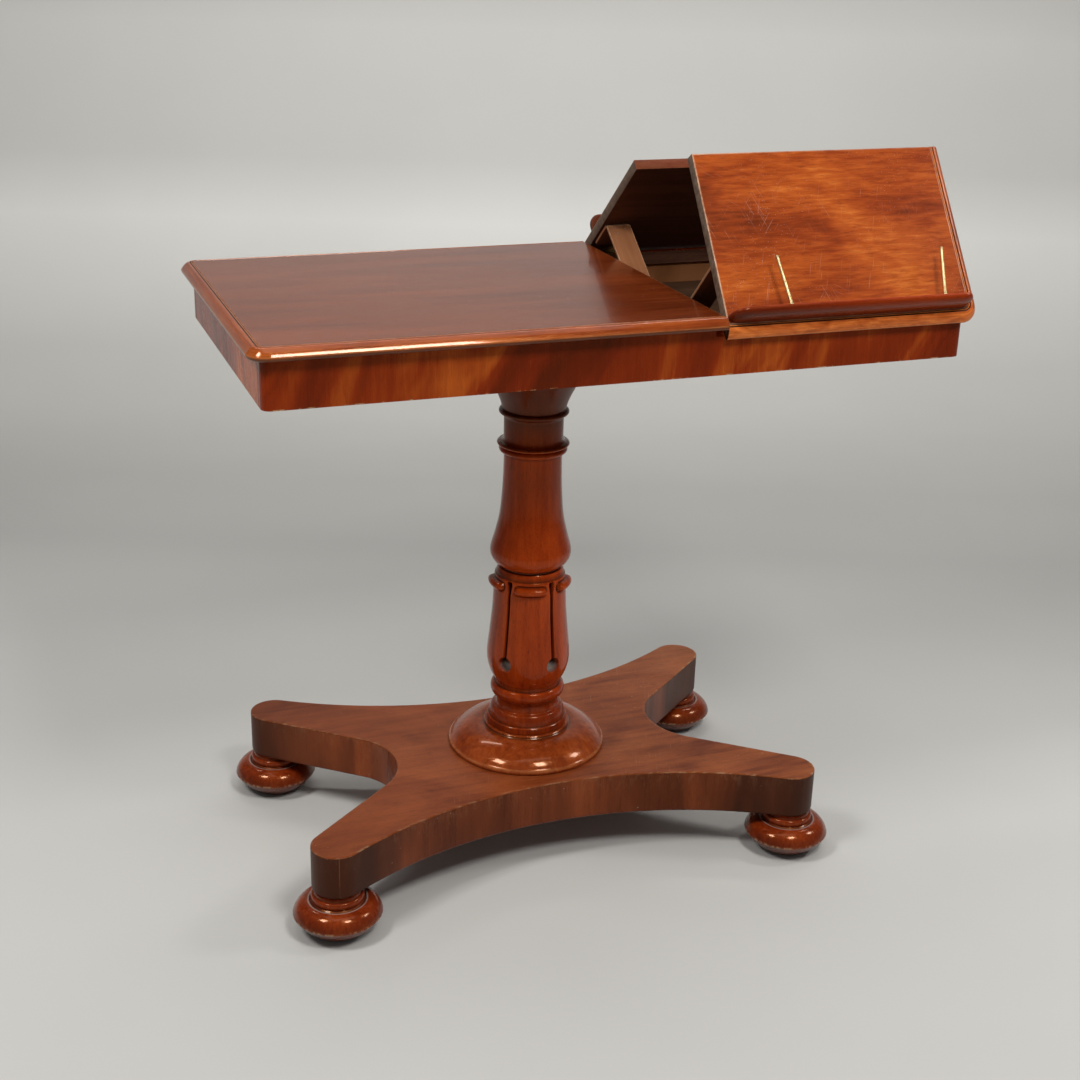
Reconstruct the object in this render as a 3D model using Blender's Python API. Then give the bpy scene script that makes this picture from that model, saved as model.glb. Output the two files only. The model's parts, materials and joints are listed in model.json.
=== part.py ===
# A reading table for two readers: a fixed top, and at its right end two hinged slopes over a shallow well,
# on a turned column, a dished collar, a four-armed platform and bun feet.
# Metres, +Z up. +X points to the slopes, -Y to the front. The origin is on the floor under the middle of the top.
import math

import bmesh
import bpy
from mathutils import Vector

# Fits
SEAT_GAP = 0.0003              # between pieces that touch
RUNNING_GAP = 0.0004           # round pieces that turn
RELIEF_GAP = 0.0008            # between the lowered lip of a raised slope and the frieze

# Top
TOP_LENGTH = 0.865             # over the mouldings
TOP_DEPTH = 0.450              # over the mouldings
TOP_HEIGHT = 0.730
BOARD_THICKNESS = 0.0135
MOULDING_WIDTH = 0.014
MOULDING_NOSE_DROP = 0.0088    # from the top to the furthest point of the moulding
MOULDING_LOWER_ROUND = 0.0038
TOP_CORNER_RADIUS = 0.022
EDGE_OVERHANG = 0.014          # of the mouldings beyond the frieze

# Slopes
SLOPE_LENGTH = 0.3305          # from the joint with the fixed top to the right end
SLOPE_END_GAP = 0.001          # between the fixed top and the slopes
FINGER_GAP = 0.008             # between the two slopes when they lie flat
FRONT_RAISE = math.radians(55.0)
REAR_RAISE = math.radians(41.0)
HIGHEST_RAISE = math.radians(58.0)
HINGE_INSET = 0.004            # hinge line inside the moulding
HINGE_RISE = 0.002             # hinge line above the board's underside

# Book ledges and page pins
LEDGE_REACH = 0.025            # out from the face of the slope
LEDGE_THICKNESS = 0.010
LEDGE_LIP = 0.003              # plain edge above the rounded underside
LEDGE_UNDERCUT = 0.012         # how far the rounded underside draws in
LEDGE_END_RADIUS = 0.016
LEDGE_END_INSET = 0.002        # from the ends of the board
FRONT_LEDGE_RISE = 0.001       # from the moulding up to the ledge
REAR_LEDGE_RISE = 0.026
PIN_LENGTH = 0.060
PIN_RADIUS = 0.0016
PIN_BALL_RADIUS = 0.0026
PIN_TIP_RADIUS = 0.0022
PIN_EDGE_INSET = 0.006         # from the ledge's outer edge
PIN_END_INSET = 0.073          # from the slope's left end to the left pin
PIN_SPACING = 0.200
PIN_SOCKET_DEPTH = 0.003
PIN_SOCKET_LENGTH = 0.012
LEFT_PIN_LEAN = math.radians(-5.0)
RIGHT_PIN_LEAN = math.radians(10.0)

# Hinges
LEAF_LENGTH = 0.040
LEAF_WIDTH = 0.0115
LEAF_THICKNESS = 0.0014
KNUCKLE_RADIUS = 0.0026
HINGE_PIN_RADIUS = 0.0012
HINGE_END_INSET = 0.022        # from the ends of the slope to the hinges

# Struts, cleats and racks
STRUT_LENGTH = 0.120
STRUT_WIDTH = 0.033
STRUT_THICKNESS = 0.004
STRUT_REACH = 0.071            # from the slope's hinge line to the strut's own
STRUT_LEFT_INSET = 0.0018      # from the partition
STRUT_RIGHT_INSET = 0.008      # from the right rail
CLEAT_LENGTH = 0.045
RACK_SEAT = 0.0145             # of the strut's foot above the well's floor
RACK_OUTER_LENGTH = 0.014      # outwards from the strut's foot
RACK_TEETH = 7
RACK_TOOTH_PITCH = 0.006
RACK_TOOTH_DEPTH = 0.0012

# Carcase
FRIEZE_HEIGHT = 0.055
RAIL_THICKNESS = 0.020
FRIEZE_CORNER_RADIUS = 0.010
RELIEF_LEAD = 0.009            # of the relief past the left end of the slopes
BOTTOM_THICKNESS = 0.011
BOTTOM_RECESS = 0.001          # above the lower edge of the frieze
PARTITION_THICKNESS = 0.018
PARTITION_BEARING = 0.002      # of the slopes' left ends on the partition
STRIP_HEIGHT = 0.016
STRIP_THICKNESS = 0.004

# Bearer and its screws
BEARER_LENGTH = 0.300
BEARER_WIDTH = 0.200
BEARER_THICKNESS = 0.028
SCREW_LENGTH = 0.034
SCREW_RADIUS = 0.0022
SCREW_HEAD_RADIUS = 0.0042
SCREW_HEAD_HEIGHT = 0.003
SCREW_EDGE_INSET = 0.030

# Column, from the collar up
COLUMN_OFFSET = 0.0425         # of the column towards the fixed end
BASE_RING_RADIUS = 0.052
BASE_RING_HEIGHT = 0.009
OVOLO_LOW_RADIUS = 0.0495
OVOLO_HIGH_RADIUS = 0.0435
OVOLO_HEIGHT = 0.015
WAIST_RADIUS = 0.0405
WAIST_HEIGHT = 0.016
TORUS_RADIUS = 0.0482
TORUS_ROOT_RADIUS = 0.0435
TORUS_HEIGHT = 0.017
THROAT_RADIUS = 0.043
THROAT_HEIGHT = 0.005
LOTUS_BULGE_RADIUS = 0.053
LOTUS_TOP_RADIUS = 0.0456
LOTUS_HEIGHT = 0.133
TIP_ROLL_RADIUS = 0.0523
TIP_ROLL_HEIGHT = 0.010
TIP_DISH_HEIGHT = 0.0055       # from the rolled tips up to the ring above them
TIP_RING_RADIUS = 0.0437
TIP_RING_TOP_RADIUS = 0.0415
TIP_RING_HEIGHT = 0.0085
TIP_GROOVE_RADIUS = 0.0384
TIP_GROOVE_HEIGHT = 0.002
BULB_RADIUS = 0.0516
BULB_HEIGHT = 0.045            # from the groove to where the shaft starts
SHAFT_LOW_RADIUS = 0.0455
SHAFT_TOP_RADIUS = 0.0362
LOWER_BEAD_RADIUS = 0.0428
LOWER_BEAD_HEIGHT = 0.010
LOWER_DISC_RADIUS = 0.0452
LOWER_DISC_HEIGHT = 0.005
NECK_RADIUS = 0.0370
NECK_COVE_HEIGHT = 0.005       # at each end of the neck
NECK_HEIGHT = 0.025
UPPER_DISC_RADIUS = 0.0435
UPPER_DISC_HEIGHT = 0.007
CAPITAL_FOOT_RADIUS = 0.0395
CAPITAL_RADIUS = 0.062
CAPITAL_FLARE_HEIGHT = 0.047
CAPITAL_BAND_HEIGHT = 0.013
TENON_RADIUS = 0.0275
TOP_TENON_RADIUS = 0.0250
TENON_RECESS = 0.001           # of the lower tenon inside the platform's underside
WEDGE_THICKNESS = 0.005
WEDGE_TAPER = 0.0015
WEDGE_DEPTH = 0.030

# Collar
COLLAR_RADIUS = 0.1025
COLLAR_RIM_HEIGHT = 0.0055
COLLAR_DOME_HEIGHT = 0.0225
COLLAR_TOP_RADIUS = 0.060
COLLAR_STEP_RADIUS = 0.056
COLLAR_STEP_HEIGHT = 0.003

# Platform
FOOT_SPACING_X = 0.603
FOOT_SPACING_Y = 0.357
ARM_END_RADIUS = 0.031
PLATFORM_MID_DEPTH = 0.124     # from the column's axis to the front and rear edges
BAY_REACH = 0.180              # from the column's axis to the side bays
BAY_RADIUS = 0.080
PLATFORM_THICKNESS = 0.0575
PLATFORM_LOWER_ROUND = 0.0035  # of the core's edge, below the edge veneer
VENEER_THICKNESS = 0.0016

# Feet
FOOT_HEIGHT = 0.0575
FOOT_RADIUS = 0.0539
FOOT_EQUATOR = 0.022           # height of the widest point
FOOT_BASE_RADIUS = 0.030
FOOT_BASE_HEIGHT = 0.005
FOOT_ARRIS_RADIUS = 0.0515     # worn edge below the widest point
FOOT_ARRIS_HEIGHT = 0.018
FOOT_SHOULDER_RADIUS = 0.0345
FOOT_SHOULDER_HEIGHT = 0.042
FOOT_COVE_RADIUS = 0.0305
FOOT_NECK_RADIUS = 0.0285
FOOT_COLLAR_RADIUS = 0.0325
SPIGOT_RADIUS = 0.014
SPIGOT_LENGTH = 0.030

# Facets
COLUMN_SIDES = 24
FOOT_SIDES = 20
COLLAR_SIDES = 32
PIN_SIDES = 8

# Places worked out from the sizes above
TOP_X = TOP_LENGTH / 2
TOP_Y = TOP_DEPTH / 2
BOARD_X = TOP_X - MOULDING_WIDTH
BOARD_Y = TOP_Y - MOULDING_WIDTH
BOARD_CORNER = TOP_CORNER_RADIUS - MOULDING_WIDTH
JOINT_X = TOP_X - SLOPE_LENGTH
FRIEZE_X = TOP_X - EDGE_OVERHANG
FRIEZE_Y = TOP_Y - EDGE_OVERHANG
RAIL_INNER_X = FRIEZE_X - RAIL_THICKNESS
RAIL_INNER_Y = FRIEZE_Y - RAIL_THICKNESS
BOARD_UNDER = TOP_HEIGHT - BOARD_THICKNESS
RAIL_TOP = BOARD_UNDER - SEAT_GAP
FRIEZE_BOTTOM = BOARD_UNDER - FRIEZE_HEIGHT
HINGE_Y = BOARD_Y - HINGE_INSET
HINGE_Z = BOARD_UNDER + HINGE_RISE
SLOPE_LEFT = JOINT_X + SLOPE_END_GAP
SLOPE_FACE = BOARD_THICKNESS - HINGE_RISE
SLOPE_FREE_EDGE = HINGE_Y - FINGER_GAP / 2
PARTITION_RIGHT = SLOPE_LEFT + PARTITION_BEARING
PARTITION_LEFT = PARTITION_RIGHT - PARTITION_THICKNESS
WELL_FLOOR = FRIEZE_BOTTOM + BOTTOM_RECESS + BOTTOM_THICKNESS
COLUMN_X = -COLUMN_OFFSET
FOOT_X = FOOT_SPACING_X / 2
FOOT_Y = FOOT_SPACING_Y / 2
PLATFORM_TOP = FOOT_HEIGHT + PLATFORM_THICKNESS
COLLAR_HEIGHT = COLLAR_RIM_HEIGHT + COLLAR_DOME_HEIGHT + COLLAR_STEP_HEIGHT
BEARER_TOP = FRIEZE_BOTTOM + BOTTOM_RECESS - SEAT_GAP
BEARER_BOTTOM = BEARER_TOP - BEARER_THICKNESS
COLUMN_BOTTOM = PLATFORM_TOP + COLLAR_HEIGHT + SEAT_GAP
COLUMN_TOP = BEARER_BOTTOM - SEAT_GAP
STRUT_HINGE_DROP = HINGE_RISE + SEAT_GAP + STRUT_THICKNESS

for leftover in list(bpy.data.objects):
    bpy.data.objects.remove(leftover, do_unlink=True)


# Materials


def finish(name, colour, roughness, metallic=0.0):
    made = bpy.data.materials.new(name)
    made.use_nodes = True
    shader = made.node_tree.nodes["Principled BSDF"]
    shader.inputs["Base Color"].default_value = (*colour, 1.0)
    shader.inputs["Roughness"].default_value = roughness
    shader.inputs["Metallic"].default_value = metallic
    return made


POLISHED = finish("polished_mahogany", (0.30, 0.075, 0.022), 0.25)
COLUMN_WOOD = finish("dark_mahogany", (0.17, 0.045, 0.018), 0.22)
FLAME = finish("flame_veneer", (0.25, 0.06, 0.02), 0.28)
PLATFORM_WOOD = finish("platform_veneer", (0.16, 0.042, 0.020), 0.35)
LEDGE_WOOD = finish("ledge_mahogany", (0.12, 0.03, 0.014), 0.25)
DEAL = finish("plain_deal", (0.42, 0.25, 0.13), 0.7)
STRUT_WOOD = finish("pale_strut_wood", (0.46, 0.26, 0.13), 0.6)
BRASS = finish("old_brass", (0.75, 0.55, 0.25), 0.3, 1.0)
STEEL = finish("screw_steel", (0.35, 0.34, 0.33), 0.4, 1.0)


# Mesh makers


def loft(rings, cyclic=False):
    # A closed body from equal rings of points: open ends are capped, a cyclic one closes on itself.
    mesh = bmesh.new()
    rows = [[mesh.verts.new(point) for point in ring] for ring in rings]
    pairs = list(zip(rows, rows[1:]))
    if cyclic:
        pairs.append((rows[-1], rows[0]))
    for low, high in pairs:
        for index in range(len(low)):
            after = (index + 1) % len(low)
            mesh.faces.new((low[index], low[after], high[after], high[index]))
    if not cyclic:
        mesh.faces.new(rows[0])
        mesh.faces.new(rows[-1])
    bmesh.ops.recalc_face_normals(mesh, faces=mesh.faces)
    return mesh


def box(low, high):
    ring = [(low[0], low[1]), (high[0], low[1]), (high[0], high[1]), (low[0], high[1])]
    return loft([[(x, y, z) for x, y in ring] for z in (low[2], high[2])])


def upright(outline, low, high):
    return loft([[(x, y, z) for x, y in outline] for z in (low, high)])


def along_x(outline, left, right):
    return loft([[(x, y, z) for y, z in outline] for x in (left, right)])


def turned(profile, sides, cyclic=False):
    # The profile is radius and height; the axis is Z.
    turns = [2 * math.pi * side / sides for side in range(sides)]
    rings = [[(r * math.cos(t), r * math.sin(t), z) for t in turns] for r, z in profile]
    return loft(rings, cyclic)


def lying(radius, left, right, sides):
    turns = [2 * math.pi * side / sides for side in range(sides)]
    return along_x([(radius * math.cos(t), radius * math.sin(t)) for t in turns], left, right)


def shifted(mesh, offset):
    bmesh.ops.translate(mesh, verts=mesh.verts, vec=Vector(offset))
    return mesh


def piece(name, mesh, material, place=(0, 0, 0), parent=None, smooth=False):
    data = bpy.data.meshes.new(name)
    mesh.to_mesh(data)
    mesh.free()
    data.materials.append(material)
    if smooth:
        data.shade_smooth()
        data.set_sharp_from_angle(angle=math.radians(35))
    made = bpy.data.objects.new(name, data)
    made.location = place
    made.parent = parent
    bpy.context.scene.collection.objects.link(made)
    return made


def shape(target, mesh, operation, name):
    # A wire helper that cuts the target, or is added to it, in the target's own frame.
    helper = piece(name, mesh, target.data.materials[0], target.location, target.parent)
    helper.hide_render = True
    helper.display_type = "WIRE"
    step = target.modifiers.new(name, "BOOLEAN")
    step.operation = operation
    step.solver = "EXACT"
    step.object = helper


def cut(target, mesh, name):
    shape(target, mesh, "DIFFERENCE", target.name + "_" + name)


def add(target, mesh, name):
    shape(target, mesh, "UNION", target.name + "_" + name)


def axis_empty(name, place, parent=None, turn=(0, 0, 0)):
    made = bpy.data.objects.new(name, None)
    made.location = place
    made.rotation_euler = turn
    made.parent = parent
    bpy.context.scene.collection.objects.link(made)
    return made


# Curves


def arc(centre, radius, start, end, steps):
    spread = [start + (end - start) * step / steps for step in range(steps + 1)]
    return [(centre[0] + radius * math.cos(a), centre[1] + radius * math.sin(a)) for a in spread]


def quarter(start, end, steps, first_flat):
    # A quarter of an ellipse between two points, leaving the first one along its first axis if first_flat.
    points = []
    for step in range(steps + 1):
        turn = math.pi / 2 * step / steps
        run, rise = math.sin(turn), 1 - math.cos(turn)
        if not first_flat:
            run, rise = rise, run
        points.append((start[0] + (end[0] - start[0]) * run, start[1] + (end[1] - start[1]) * rise))
    return points


def bead(root, crown, low, high, steps=6):
    turns = [math.pi * step / steps for step in range(steps + 1)]
    return [(root + (crown - root) * math.sin(t), low + (high - low) * (1 - math.cos(t)) / 2) for t in turns]


def flowing(knots, steps=3):
    # A smooth curve through the knots.
    ends = [knots[0]] + knots + [knots[-1]]
    points = [knots[0]]
    for before, start, end, after in zip(ends, ends[1:], ends[2:], ends[3:]):
        for step in range(1, steps + 1):
            t = step / steps
            weights = (
                (-t + 2 * t * t - t ** 3) / 2,
                (2 - 5 * t * t + 3 * t ** 3) / 2,
                (t + 4 * t * t - 3 * t ** 3) / 2,
                (-t * t + t ** 3) / 2,
            )
            corners = (before, start, end, after)
            points.append(tuple(sum(w * c[k] for w, c in zip(weights, corners)) for k in (0, 1)))
    return points


def rounded_rectangle(low, high, radii, steps=4):
    # Corners run front left, front right, rear right, rear left.
    corners = ((low[0], low[1]), (high[0], low[1]), (high[0], high[1]), (low[0], high[1]))
    inward = ((1, 1), (-1, 1), (-1, -1), (1, -1))
    outline = []
    for number, (corner, way, radius) in enumerate(zip(corners, inward, radii)):
        if radius <= 0:
            outline.append(corner)
            continue
        centre = (corner[0] + way[0] * radius, corner[1] + way[1] * radius)
        start = math.pi + number * math.pi / 2
        outline.extend(arc(centre, radius, start, start + math.pi / 2, steps))
    return outline


# Feet


def foot_profile():
    neck_low = FOOT_SHOULDER_HEIGHT + (FOOT_HEIGHT - FOOT_SHOULDER_HEIGHT) * 0.55
    profile = [(FOOT_BASE_RADIUS, 0.0), (FOOT_BASE_RADIUS, FOOT_BASE_HEIGHT)]
    under = (FOOT_ARRIS_RADIUS, FOOT_ARRIS_HEIGHT)
    profile += quarter((FOOT_BASE_RADIUS, FOOT_BASE_HEIGHT), under, 4, True)[1:]
    profile += quarter(under, (FOOT_RADIUS, FOOT_EQUATOR), 3, False)[1:]
    profile += quarter((FOOT_RADIUS, FOOT_EQUATOR), (FOOT_SHOULDER_RADIUS, FOOT_SHOULDER_HEIGHT), 7, False)[1:]
    profile.append((FOOT_COVE_RADIUS, FOOT_SHOULDER_HEIGHT))
    profile += bead(FOOT_COVE_RADIUS, FOOT_COLLAR_RADIUS, FOOT_SHOULDER_HEIGHT, neck_low, 4)[1:]
    profile.append((FOOT_NECK_RADIUS, neck_low))
    profile.append((FOOT_NECK_RADIUS, FOOT_HEIGHT - SEAT_GAP))
    profile.append((SPIGOT_RADIUS, FOOT_HEIGHT - SEAT_GAP))
    profile.append((SPIGOT_RADIUS, FOOT_HEIGHT + SPIGOT_LENGTH))
    return profile


FOOT_PLACES = {}
for end_name, way_x in (("left", -1), ("right", 1)):
    for side_name, way_y in (("front", -1), ("rear", 1)):
        FOOT_PLACES["foot_" + side_name + "_" + end_name] = (COLUMN_X + way_x * FOOT_X, way_y * FOOT_Y, 0)
for foot_name, foot_place in FOOT_PLACES.items():
    piece(foot_name, turned(foot_profile(), FOOT_SIDES), COLUMN_WOOD, foot_place, smooth=True)


# Platform


def platform_quarter(inset):
    # The edge from the right bay to the middle of the rear: bay, straight run, arm end, then the long hollow.
    arm_radius = ARM_END_RADIUS - inset
    mid_depth = PLATFORM_MID_DEPTH - inset
    bay_centre = (BAY_REACH + BAY_RADIUS, 0.0)
    bay_radius = BAY_RADIUS + inset
    span = math.hypot(FOOT_X - bay_centre[0], FOOT_Y)
    toward = math.atan2(FOOT_Y, FOOT_X - bay_centre[0])
    lean = toward + math.acos((bay_radius + arm_radius) / span)
    fall = FOOT_Y - mid_depth
    hollow_radius = (FOOT_X ** 2 + fall ** 2 - arm_radius ** 2) / (2 * (arm_radius + fall))
    hollow_centre = (0.0, mid_depth + hollow_radius)
    hollow_end = math.atan2(FOOT_Y - hollow_centre[1], FOOT_X)
    outline = arc(bay_centre, bay_radius, math.pi, lean, 5)
    outline += arc((FOOT_X, FOOT_Y), arm_radius, lean - math.pi, hollow_end + math.pi, 9)
    outline += arc(hollow_centre, hollow_radius, hollow_end, -math.pi / 2, 7)[1:]
    return outline


def platform_outline(inset):
    first = platform_quarter(inset)
    second = [(-x, y) for x, y in reversed(first[:-1])]
    upper = first + second
    lower = [(x, -y) for x, y in reversed(upper[1:-1])]
    return upper + lower


PLATFORM_PLACE = (COLUMN_X, 0, 0)
veneer_low = PLATFORM_TOP - VENEER_THICKNESS
core_inset = VENEER_THICKNESS + SEAT_GAP
core_top = veneer_low - SEAT_GAP
round_top = FOOT_HEIGHT + PLATFORM_LOWER_ROUND
core_levels = []
for inset, height in quarter((PLATFORM_LOWER_ROUND, FOOT_HEIGHT), (0.0, round_top), 3, True):
    core_levels.append((inset, height))
core_levels += [(core_inset, round_top), (core_inset, core_top)]
core_rings = [[(x, y, height) for x, y in platform_outline(inset)] for inset, height in core_levels]
tenon_bore = TENON_RADIUS + SEAT_GAP
socket_radius = SPIGOT_RADIUS + SEAT_GAP
socket_top = FOOT_HEIGHT + SPIGOT_LENGTH + SEAT_GAP
for foot_name, foot_place in FOOT_PLACES.items():
    # The core is glued up from four quarters, one to an arm.
    arm = foot_name.replace("foot", "platform_core")
    foot_x, foot_y = foot_place[0] - COLUMN_X, foot_place[1]
    quarter_core = piece(arm, loft(core_rings), PLATFORM_WOOD, PLATFORM_PLACE)
    far_x, far_y = math.copysign(TOP_LENGTH, foot_x), math.copysign(TOP_LENGTH, foot_y)
    joint_x, joint_y = math.copysign(SEAT_GAP / 2, foot_x), math.copysign(SEAT_GAP / 2, foot_y)
    for reach, edge in (((-far_x, -far_y), (joint_x, far_y)), ((-far_x, -far_y), (far_x, joint_y))):
        low = (min(reach[0], edge[0]), min(reach[1], edge[1]), 0.0)
        high = (max(reach[0], edge[0]), max(reach[1], edge[1]), TOP_HEIGHT)
        cut(quarter_core, box(low, high), arm + "_joint")
    socket = turned([(socket_radius, FOOT_HEIGHT / 2), (socket_radius, socket_top)], FOOT_SIDES)
    shifted(socket, (foot_x, foot_y, 0))
    cut(quarter_core, socket, foot_name + "_socket")
    cut(quarter_core, turned([(tenon_bore, 0.0), (tenon_bore, TOP_HEIGHT)], COLUMN_SIDES), "tenon_bore")

top_veneer_mesh = upright(platform_outline(0.0), veneer_low, PLATFORM_TOP)
top_veneer = piece("platform_top_veneer", top_veneer_mesh, PLATFORM_WOOD, PLATFORM_PLACE)
cut(top_veneer, turned([(tenon_bore, 0.0), (tenon_bore, TOP_HEIGHT)], COLUMN_SIDES), "tenon_bore")

outer_edge, inner_edge = platform_outline(0.0), platform_outline(VENEER_THICKNESS)
edge_low = round_top + SEAT_GAP
edge_heights = ((outer_edge, edge_low), (outer_edge, core_top), (inner_edge, core_top), (inner_edge, edge_low))
edge_rings = [[(x, y, z) for x, y in outline] for outline, z in edge_heights]
piece("platform_edge_veneer", loft(edge_rings, cyclic=True), PLATFORM_WOOD, PLATFORM_PLACE)


# Collar


def collar_profile():
    bottom = PLATFORM_TOP + SEAT_GAP
    rim_top = PLATFORM_TOP + COLLAR_RIM_HEIGHT
    dome_top = rim_top + COLLAR_DOME_HEIGHT
    bore = TENON_RADIUS + SEAT_GAP
    profile = [(bore, bottom), (COLLAR_RADIUS, bottom), (COLLAR_RADIUS, rim_top)]
    profile += quarter((COLLAR_RADIUS, rim_top), (COLLAR_TOP_RADIUS, dome_top), 7, False)[1:]
    profile.append((COLLAR_STEP_RADIUS, dome_top))
    profile.append((COLLAR_STEP_RADIUS, dome_top + COLLAR_STEP_HEIGHT))
    profile.append((bore, dome_top + COLLAR_STEP_HEIGHT))
    return profile


piece("column_collar", turned(collar_profile(), COLLAR_SIDES, cyclic=True), COLUMN_WOOD, PLATFORM_PLACE, smooth=True)


# Column


def column_profile():
    # Bottom to top; the shaft takes the height that the mouldings leave.
    z = COLUMN_BOTTOM
    tenon_end = FOOT_HEIGHT + TENON_RECESS
    profile = [(TENON_RADIUS, tenon_end), (TENON_RADIUS, z), (BASE_RING_RADIUS, z)]
    z += BASE_RING_HEIGHT
    profile.append((BASE_RING_RADIUS, z))
    profile.append((OVOLO_LOW_RADIUS, z))
    profile += quarter((OVOLO_LOW_RADIUS, z), (OVOLO_HIGH_RADIUS, z + OVOLO_HEIGHT), 4, False)[1:]
    z += OVOLO_HEIGHT
    waist_root = WAIST_RADIUS + (TORUS_ROOT_RADIUS - WAIST_RADIUS) * 0.7
    profile += bead(waist_root, WAIST_RADIUS, z, z + WAIST_HEIGHT, 4)
    z += WAIST_HEIGHT
    profile += bead(TORUS_ROOT_RADIUS, TORUS_RADIUS, z, z + TORUS_HEIGHT, 6)
    z += TORUS_HEIGHT
    profile.append((THROAT_RADIUS, z))
    z += THROAT_HEIGHT
    bulge = LOTUS_BULGE_RADIUS - THROAT_RADIUS
    drawn = LOTUS_BULGE_RADIUS - LOTUS_TOP_RADIUS
    lotus = [
        (THROAT_RADIUS, z),
        (THROAT_RADIUS + bulge * 0.66, z + LOTUS_HEIGHT * 0.10),
        (LOTUS_BULGE_RADIUS, z + LOTUS_HEIGHT * 0.26),
        (LOTUS_BULGE_RADIUS - drawn * 0.38, z + LOTUS_HEIGHT * 0.50),
        (LOTUS_BULGE_RADIUS - drawn * 0.82, z + LOTUS_HEIGHT * 0.76),
        (LOTUS_TOP_RADIUS, z + LOTUS_HEIGHT),
    ]
    profile += flowing(lotus)
    z += LOTUS_HEIGHT
    profile += bead(LOTUS_TOP_RADIUS, TIP_ROLL_RADIUS, z, z + TIP_ROLL_HEIGHT, 6)[1:]
    z += TIP_ROLL_HEIGHT + TIP_DISH_HEIGHT
    profile.append((TIP_RING_RADIUS, z))
    z += TIP_RING_HEIGHT
    profile.append((TIP_RING_TOP_RADIUS, z))
    profile.append((TIP_GROOVE_RADIUS, z))
    z += TIP_GROOVE_HEIGHT
    groove_top = z
    mouldings = LOWER_BEAD_HEIGHT + LOWER_DISC_HEIGHT + NECK_HEIGHT + 2 * NECK_COVE_HEIGHT + UPPER_DISC_HEIGHT
    shaft_top = COLUMN_TOP - CAPITAL_BAND_HEIGHT - CAPITAL_FLARE_HEIGHT - mouldings
    shaft_low = groove_top + BULB_HEIGHT
    shaft = shaft_top - shaft_low
    drawn = SHAFT_LOW_RADIUS - SHAFT_TOP_RADIUS
    bulb = [
        (TIP_GROOVE_RADIUS, groove_top),
        (TIP_GROOVE_RADIUS + (BULB_RADIUS - TIP_GROOVE_RADIUS) * 0.72, groove_top + BULB_HEIGHT * 0.17),
        (BULB_RADIUS, groove_top + BULB_HEIGHT * 0.46),
        (SHAFT_LOW_RADIUS, shaft_low),
        (SHAFT_LOW_RADIUS - drawn * 0.56, shaft_low + shaft * 0.24),
        (SHAFT_LOW_RADIUS - drawn * 0.88, shaft_low + shaft * 0.60),
        (SHAFT_TOP_RADIUS, shaft_top),
    ]
    profile += flowing(bulb)
    z = shaft_top
    profile += bead(SHAFT_TOP_RADIUS, LOWER_BEAD_RADIUS, z, z + LOWER_BEAD_HEIGHT, 5)[1:]
    z += LOWER_BEAD_HEIGHT
    profile += bead(LOWER_BEAD_RADIUS, LOWER_DISC_RADIUS, z, z + LOWER_DISC_HEIGHT, 4)
    z += LOWER_DISC_HEIGHT
    cove_root = NECK_RADIUS + (UPPER_DISC_RADIUS - NECK_RADIUS) * 0.5
    profile += quarter((LOWER_BEAD_RADIUS, z), (NECK_RADIUS, z + NECK_COVE_HEIGHT), 3, True)[1:]
    z += NECK_COVE_HEIGHT + NECK_HEIGHT
    profile += quarter((NECK_RADIUS, z), (cove_root, z + NECK_COVE_HEIGHT), 3, False)
    z += NECK_COVE_HEIGHT
    profile += bead(cove_root, UPPER_DISC_RADIUS, z, z + UPPER_DISC_HEIGHT, 5)[1:]
    z += UPPER_DISC_HEIGHT
    flare = CAPITAL_RADIUS - CAPITAL_FOOT_RADIUS
    capital = [
        (CAPITAL_FOOT_RADIUS, z),
        (CAPITAL_FOOT_RADIUS + flare * 0.12, z + CAPITAL_FLARE_HEIGHT * 0.22),
        (CAPITAL_FOOT_RADIUS + flare * 0.41, z + CAPITAL_FLARE_HEIGHT * 0.53),
        (CAPITAL_FOOT_RADIUS + flare * 0.78, z + CAPITAL_FLARE_HEIGHT * 0.83),
        (CAPITAL_RADIUS, z + CAPITAL_FLARE_HEIGHT),
    ]
    profile += flowing(capital, 2)
    profile.append((CAPITAL_RADIUS, COLUMN_TOP))
    profile.append((TOP_TENON_RADIUS, COLUMN_TOP))
    profile.append((TOP_TENON_RADIUS, BEARER_TOP))
    return profile


column = piece("column", turned(column_profile(), COLUMN_SIDES), COLUMN_WOOD, PLATFORM_PLACE, smooth=True)
slot_half = WEDGE_THICKNESS / 2 + SEAT_GAP
slot_top = FOOT_HEIGHT + TENON_RECESS + WEDGE_DEPTH + SEAT_GAP
slot_low = (-slot_half, -2 * TENON_RADIUS, 0.0)
cut(column, box(slot_low, (slot_half, 2 * TENON_RADIUS, slot_top)), "wedge_slot")
wedge_low, wedge_high = FOOT_HEIGHT + TENON_RECESS, FOOT_HEIGHT + TENON_RECESS + WEDGE_DEPTH
wedge_reach = TENON_RADIUS * 0.9
wedge_rings = []
for half, height in ((WEDGE_THICKNESS / 2, wedge_low), ((WEDGE_THICKNESS - WEDGE_TAPER) / 2, wedge_high)):
    corners = ((-half, -wedge_reach), (half, -wedge_reach), (half, wedge_reach), (-half, wedge_reach))
    wedge_rings.append([(x, y, height) for x, y in corners])
piece("column_wedge", loft(wedge_rings), DEAL, PLATFORM_PLACE)


# Bearer, bottom board and screws

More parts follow.
